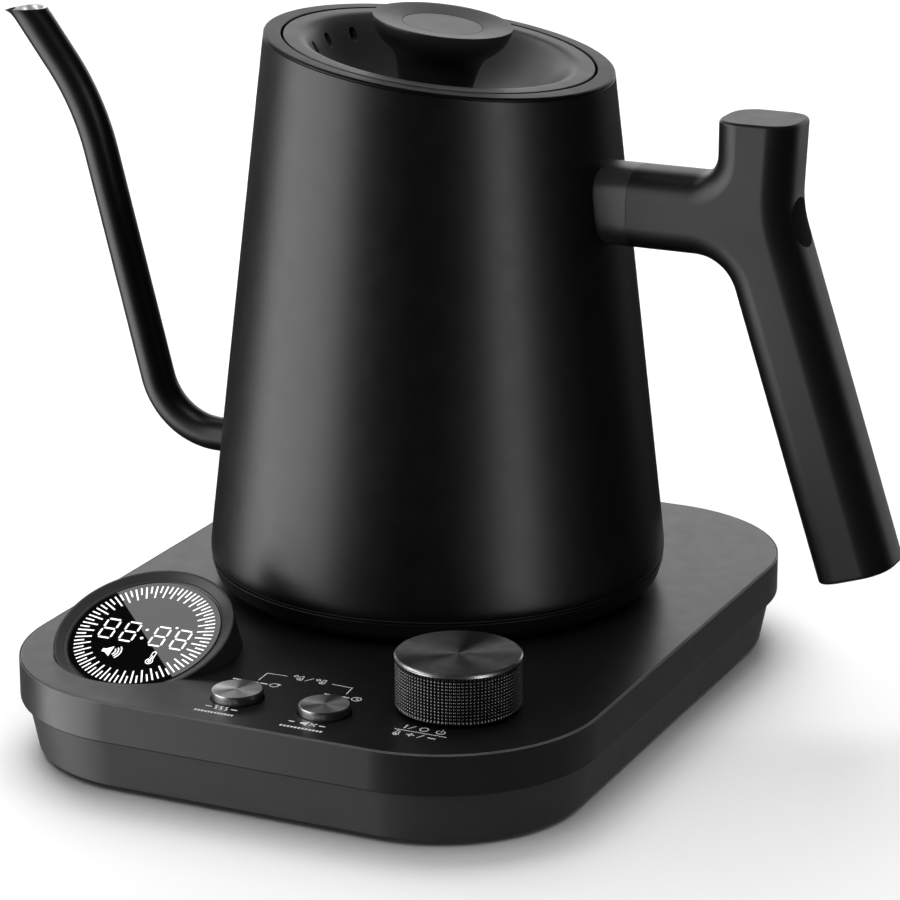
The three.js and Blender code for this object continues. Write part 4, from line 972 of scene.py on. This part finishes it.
KEPT = {
    "power_board": BOARD, "control_board": BOARD, "power_relay": RELAY, "display_module": WHITE,
    "cord_grommet": RUBBER, "encoder_body": STEEL_MATTE, "encoder_nut": STEEL_MATTE,
    "encoder_shaft": STEEL_MATTE, "encoder_rotor": BRASS, "heating_element": STEEL_MATTE,
    "temperature_sensor": STEEL, "handle_bracket": STEEL_MATTE, "handle_screw": STEEL_MATTE,
}
for name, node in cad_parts.items():
    if not node.hide_render:
        node.data.materials.clear()
        node.data.materials.append(KEPT.get(name, INNER))
        shade(node, 40)

# ---- Studio ------------------------------------------------------------------------------------------

half_floor = FLOOR_SIDE / MM
floor_plan = [(-half_floor, -half_floor), (half_floor, -half_floor), (half_floor, half_floor),
              (-half_floor, half_floor)]
floor = raw("floor", *prism(floor_plan, -10, 0))
floor.data.materials.append(finish("pale_floor", (0.86, 0.86, 0.86), 0.75, vary=0.005, grain=2))
floor.visible_glossy = False  # floor_glow lights the base's sides instead
floor.visible_shadow = False

world = bpy.data.worlds.new("studio")
bpy.context.scene.world = world
world.use_nodes = True
world.node_tree.nodes["Background"].inputs["Color"].default_value = (1, 1, 1, 1)
world_nodes, world_links = world.node_tree.nodes, world.node_tree.links
# The camera sees a pale background, and the object gets only a dim one
seen = world_nodes.new("ShaderNodeLightPath")
glow = world_nodes.new("ShaderNodeMapRange")
glow.inputs["To Min"].default_value, glow.inputs["To Max"].default_value = WORLD_GLOW, BACKDROP
world_links.new(seen.outputs["Is Camera Ray"], glow.inputs["Value"])
world_links.new(glow.outputs["Result"], world_nodes["Background"].inputs["Strength"])


def softbox(name, place, target, width, height, radiance, shines=True, fills=True):
    """An area light that faces a target, in metres. It can be left out of reflections or of plain light."""
    light = bpy.data.lights.new(name, "AREA")
    light.shape, light.size, light.size_y = "RECTANGLE", width, height
    light.energy = radiance * math.pi * width * height
    made = bpy.data.objects.new(name, light)
    made.location = place
    made.rotation_euler = (Vector(target) - Vector(place)).to_track_quat("-Z", "Y").to_euler()
    made.visible_camera, made.visible_glossy, made.visible_diffuse = False, shines, fills
    bpy.context.scene.collection.objects.link(made)
    return made


def panel(name, from_camera, away, width, height, radiance, middle=0.1):
    """An upright panel seen only in reflections, turned in plan from the camera's direction, in degrees."""
    bearing = CAMERA_TURN + math.radians(from_camera)
    place = (away * math.sin(bearing), 0.02 - away * math.cos(bearing), middle)
    return softbox(name, place, (0, 0.02, middle), width, height, radiance, fills=False)


def only_on(light, *pieces):
    """Keeps a reflection panel to some pieces."""
    chosen = bpy.data.collections.new(light.name + "_receivers")
    for piece in pieces:
        chosen.objects.link(piece)
    light.light_linking.receiver_collection = chosen


softbox("sky", (-0.7, 1.0, 1.9), (0, 0, 0), 2.0, 2.0, 4.6, shines=False)
softbox("fill", (0.3, -0.7, 2.1), (0, 0, 0), 3.0, 3.0, 1.5, shines=False)
panel("left_panel", -83, 2.4, 2.55, 3.4, 4.1)
panel("back_wall", 180, 1.9, 2.8, 1.1, 1.6, middle=0.55)
only_on(softbox("floor_glow", (0.1, 0, -0.3), (0.1, 0, 0), 2.5, 2.5, 0.16, fills=False), slab, tray)
only_on(softbox("lid_glow", (-0.95, 0.31, 0.85), (0, 0, 0.17), 0.9, 0.9, 2.0, fills=False), lid, knob)
only_on(softbox("edge_glow", (0.3, -1.2, 1.3), (0, 0, 0), 1.4, 0.5, 2.5, fills=False), slab)
only_on(softbox("mouth_glow", (0.1, -0.3, 1.4), (-0.13, 0.02, 0.17), 0.7, 0.4, 3.0, fills=False), spout)
only_on(softbox("metal_glow", (-0.5, 0.9, 0.9), (0, -0.07, 0.04), 0.9, 0.5, 1.2, fills=False), dial, *caps)
only_on(panel("right_strip", 40, 1.6, 0.42, 2.2, 3.9), body, rim, spout, cover, dial)
only_on(panel("right_edge", 132, 1.6, 0.5, 1.3, 0.13, middle=0.35), body, rim, lid)
only_on(panel("handle_front", -46, 2.4, 0.9, 3.0, 1.6), grip, collar, plug)
only_on(panel("handle_side", 130, 1.6, 0.7, 1.3, 0.9, middle=0.35), grip, collar)

# A small light whose one straight edge crosses the glass as the photo's view sees it. From other views
# its reflection falls elsewhere.
glass = display_face * MM
glass_way = (IN_DISPLAY.to_3x3() @ Vector((0, 0, 1))).normalized()
mirrored = CAMERA_PLACE - 2 * (CAMERA_PLACE - glass).dot(glass_way) * glass_way
edge = [(IN_DISPLAY @ Vector(p)) * MM - mirrored for p in ((-14.1, 13.95, 0), (15.7, -13.0, 0))]
outward = (glass - mirrored).normalized()
aside = edge[0].cross(edge[1]).normalized()
aside *= math.copysign(1, aside.dot((IN_DISPLAY @ Vector((10, 10, 0))) * MM - mirrored))
aside = (aside - aside.dot(outward) * outward).normalized()
GLARE_WIDTH = 0.12
reach = glass + outward * 0.8
on_edge = reach - (reach - mirrored).dot(aside) * aside
glare = softbox("glare", on_edge + aside * GLARE_WIDTH / 2, glass, GLARE_WIDTH, 0.24, 2.6, fills=False)
glare.rotation_euler = Matrix((aside, outward.cross(aside), outward)).transposed().to_euler()

camera_data = bpy.data.cameras.new("camera")
camera = bpy.data.objects.new("camera", camera_data)
bpy.context.scene.collection.objects.link(camera)
back = Vector((math.sin(CAMERA_TURN) * math.cos(CAMERA_RISE),
               -math.cos(CAMERA_TURN) * math.cos(CAMERA_RISE), math.sin(CAMERA_RISE)))
camera.location = CAMERA_PLACE
camera.rotation_mode = "QUATERNION"
camera.rotation_quaternion = (-back).to_track_quat("-Z", "Y")
camera_data.sensor_width, camera_data.lens = SENSOR, LENS
camera_data.clip_start, camera_data.clip_end = 0.05, 30
bpy.context.scene.camera = camera
bpy.context.scene.view_settings.view_transform = "Standard"
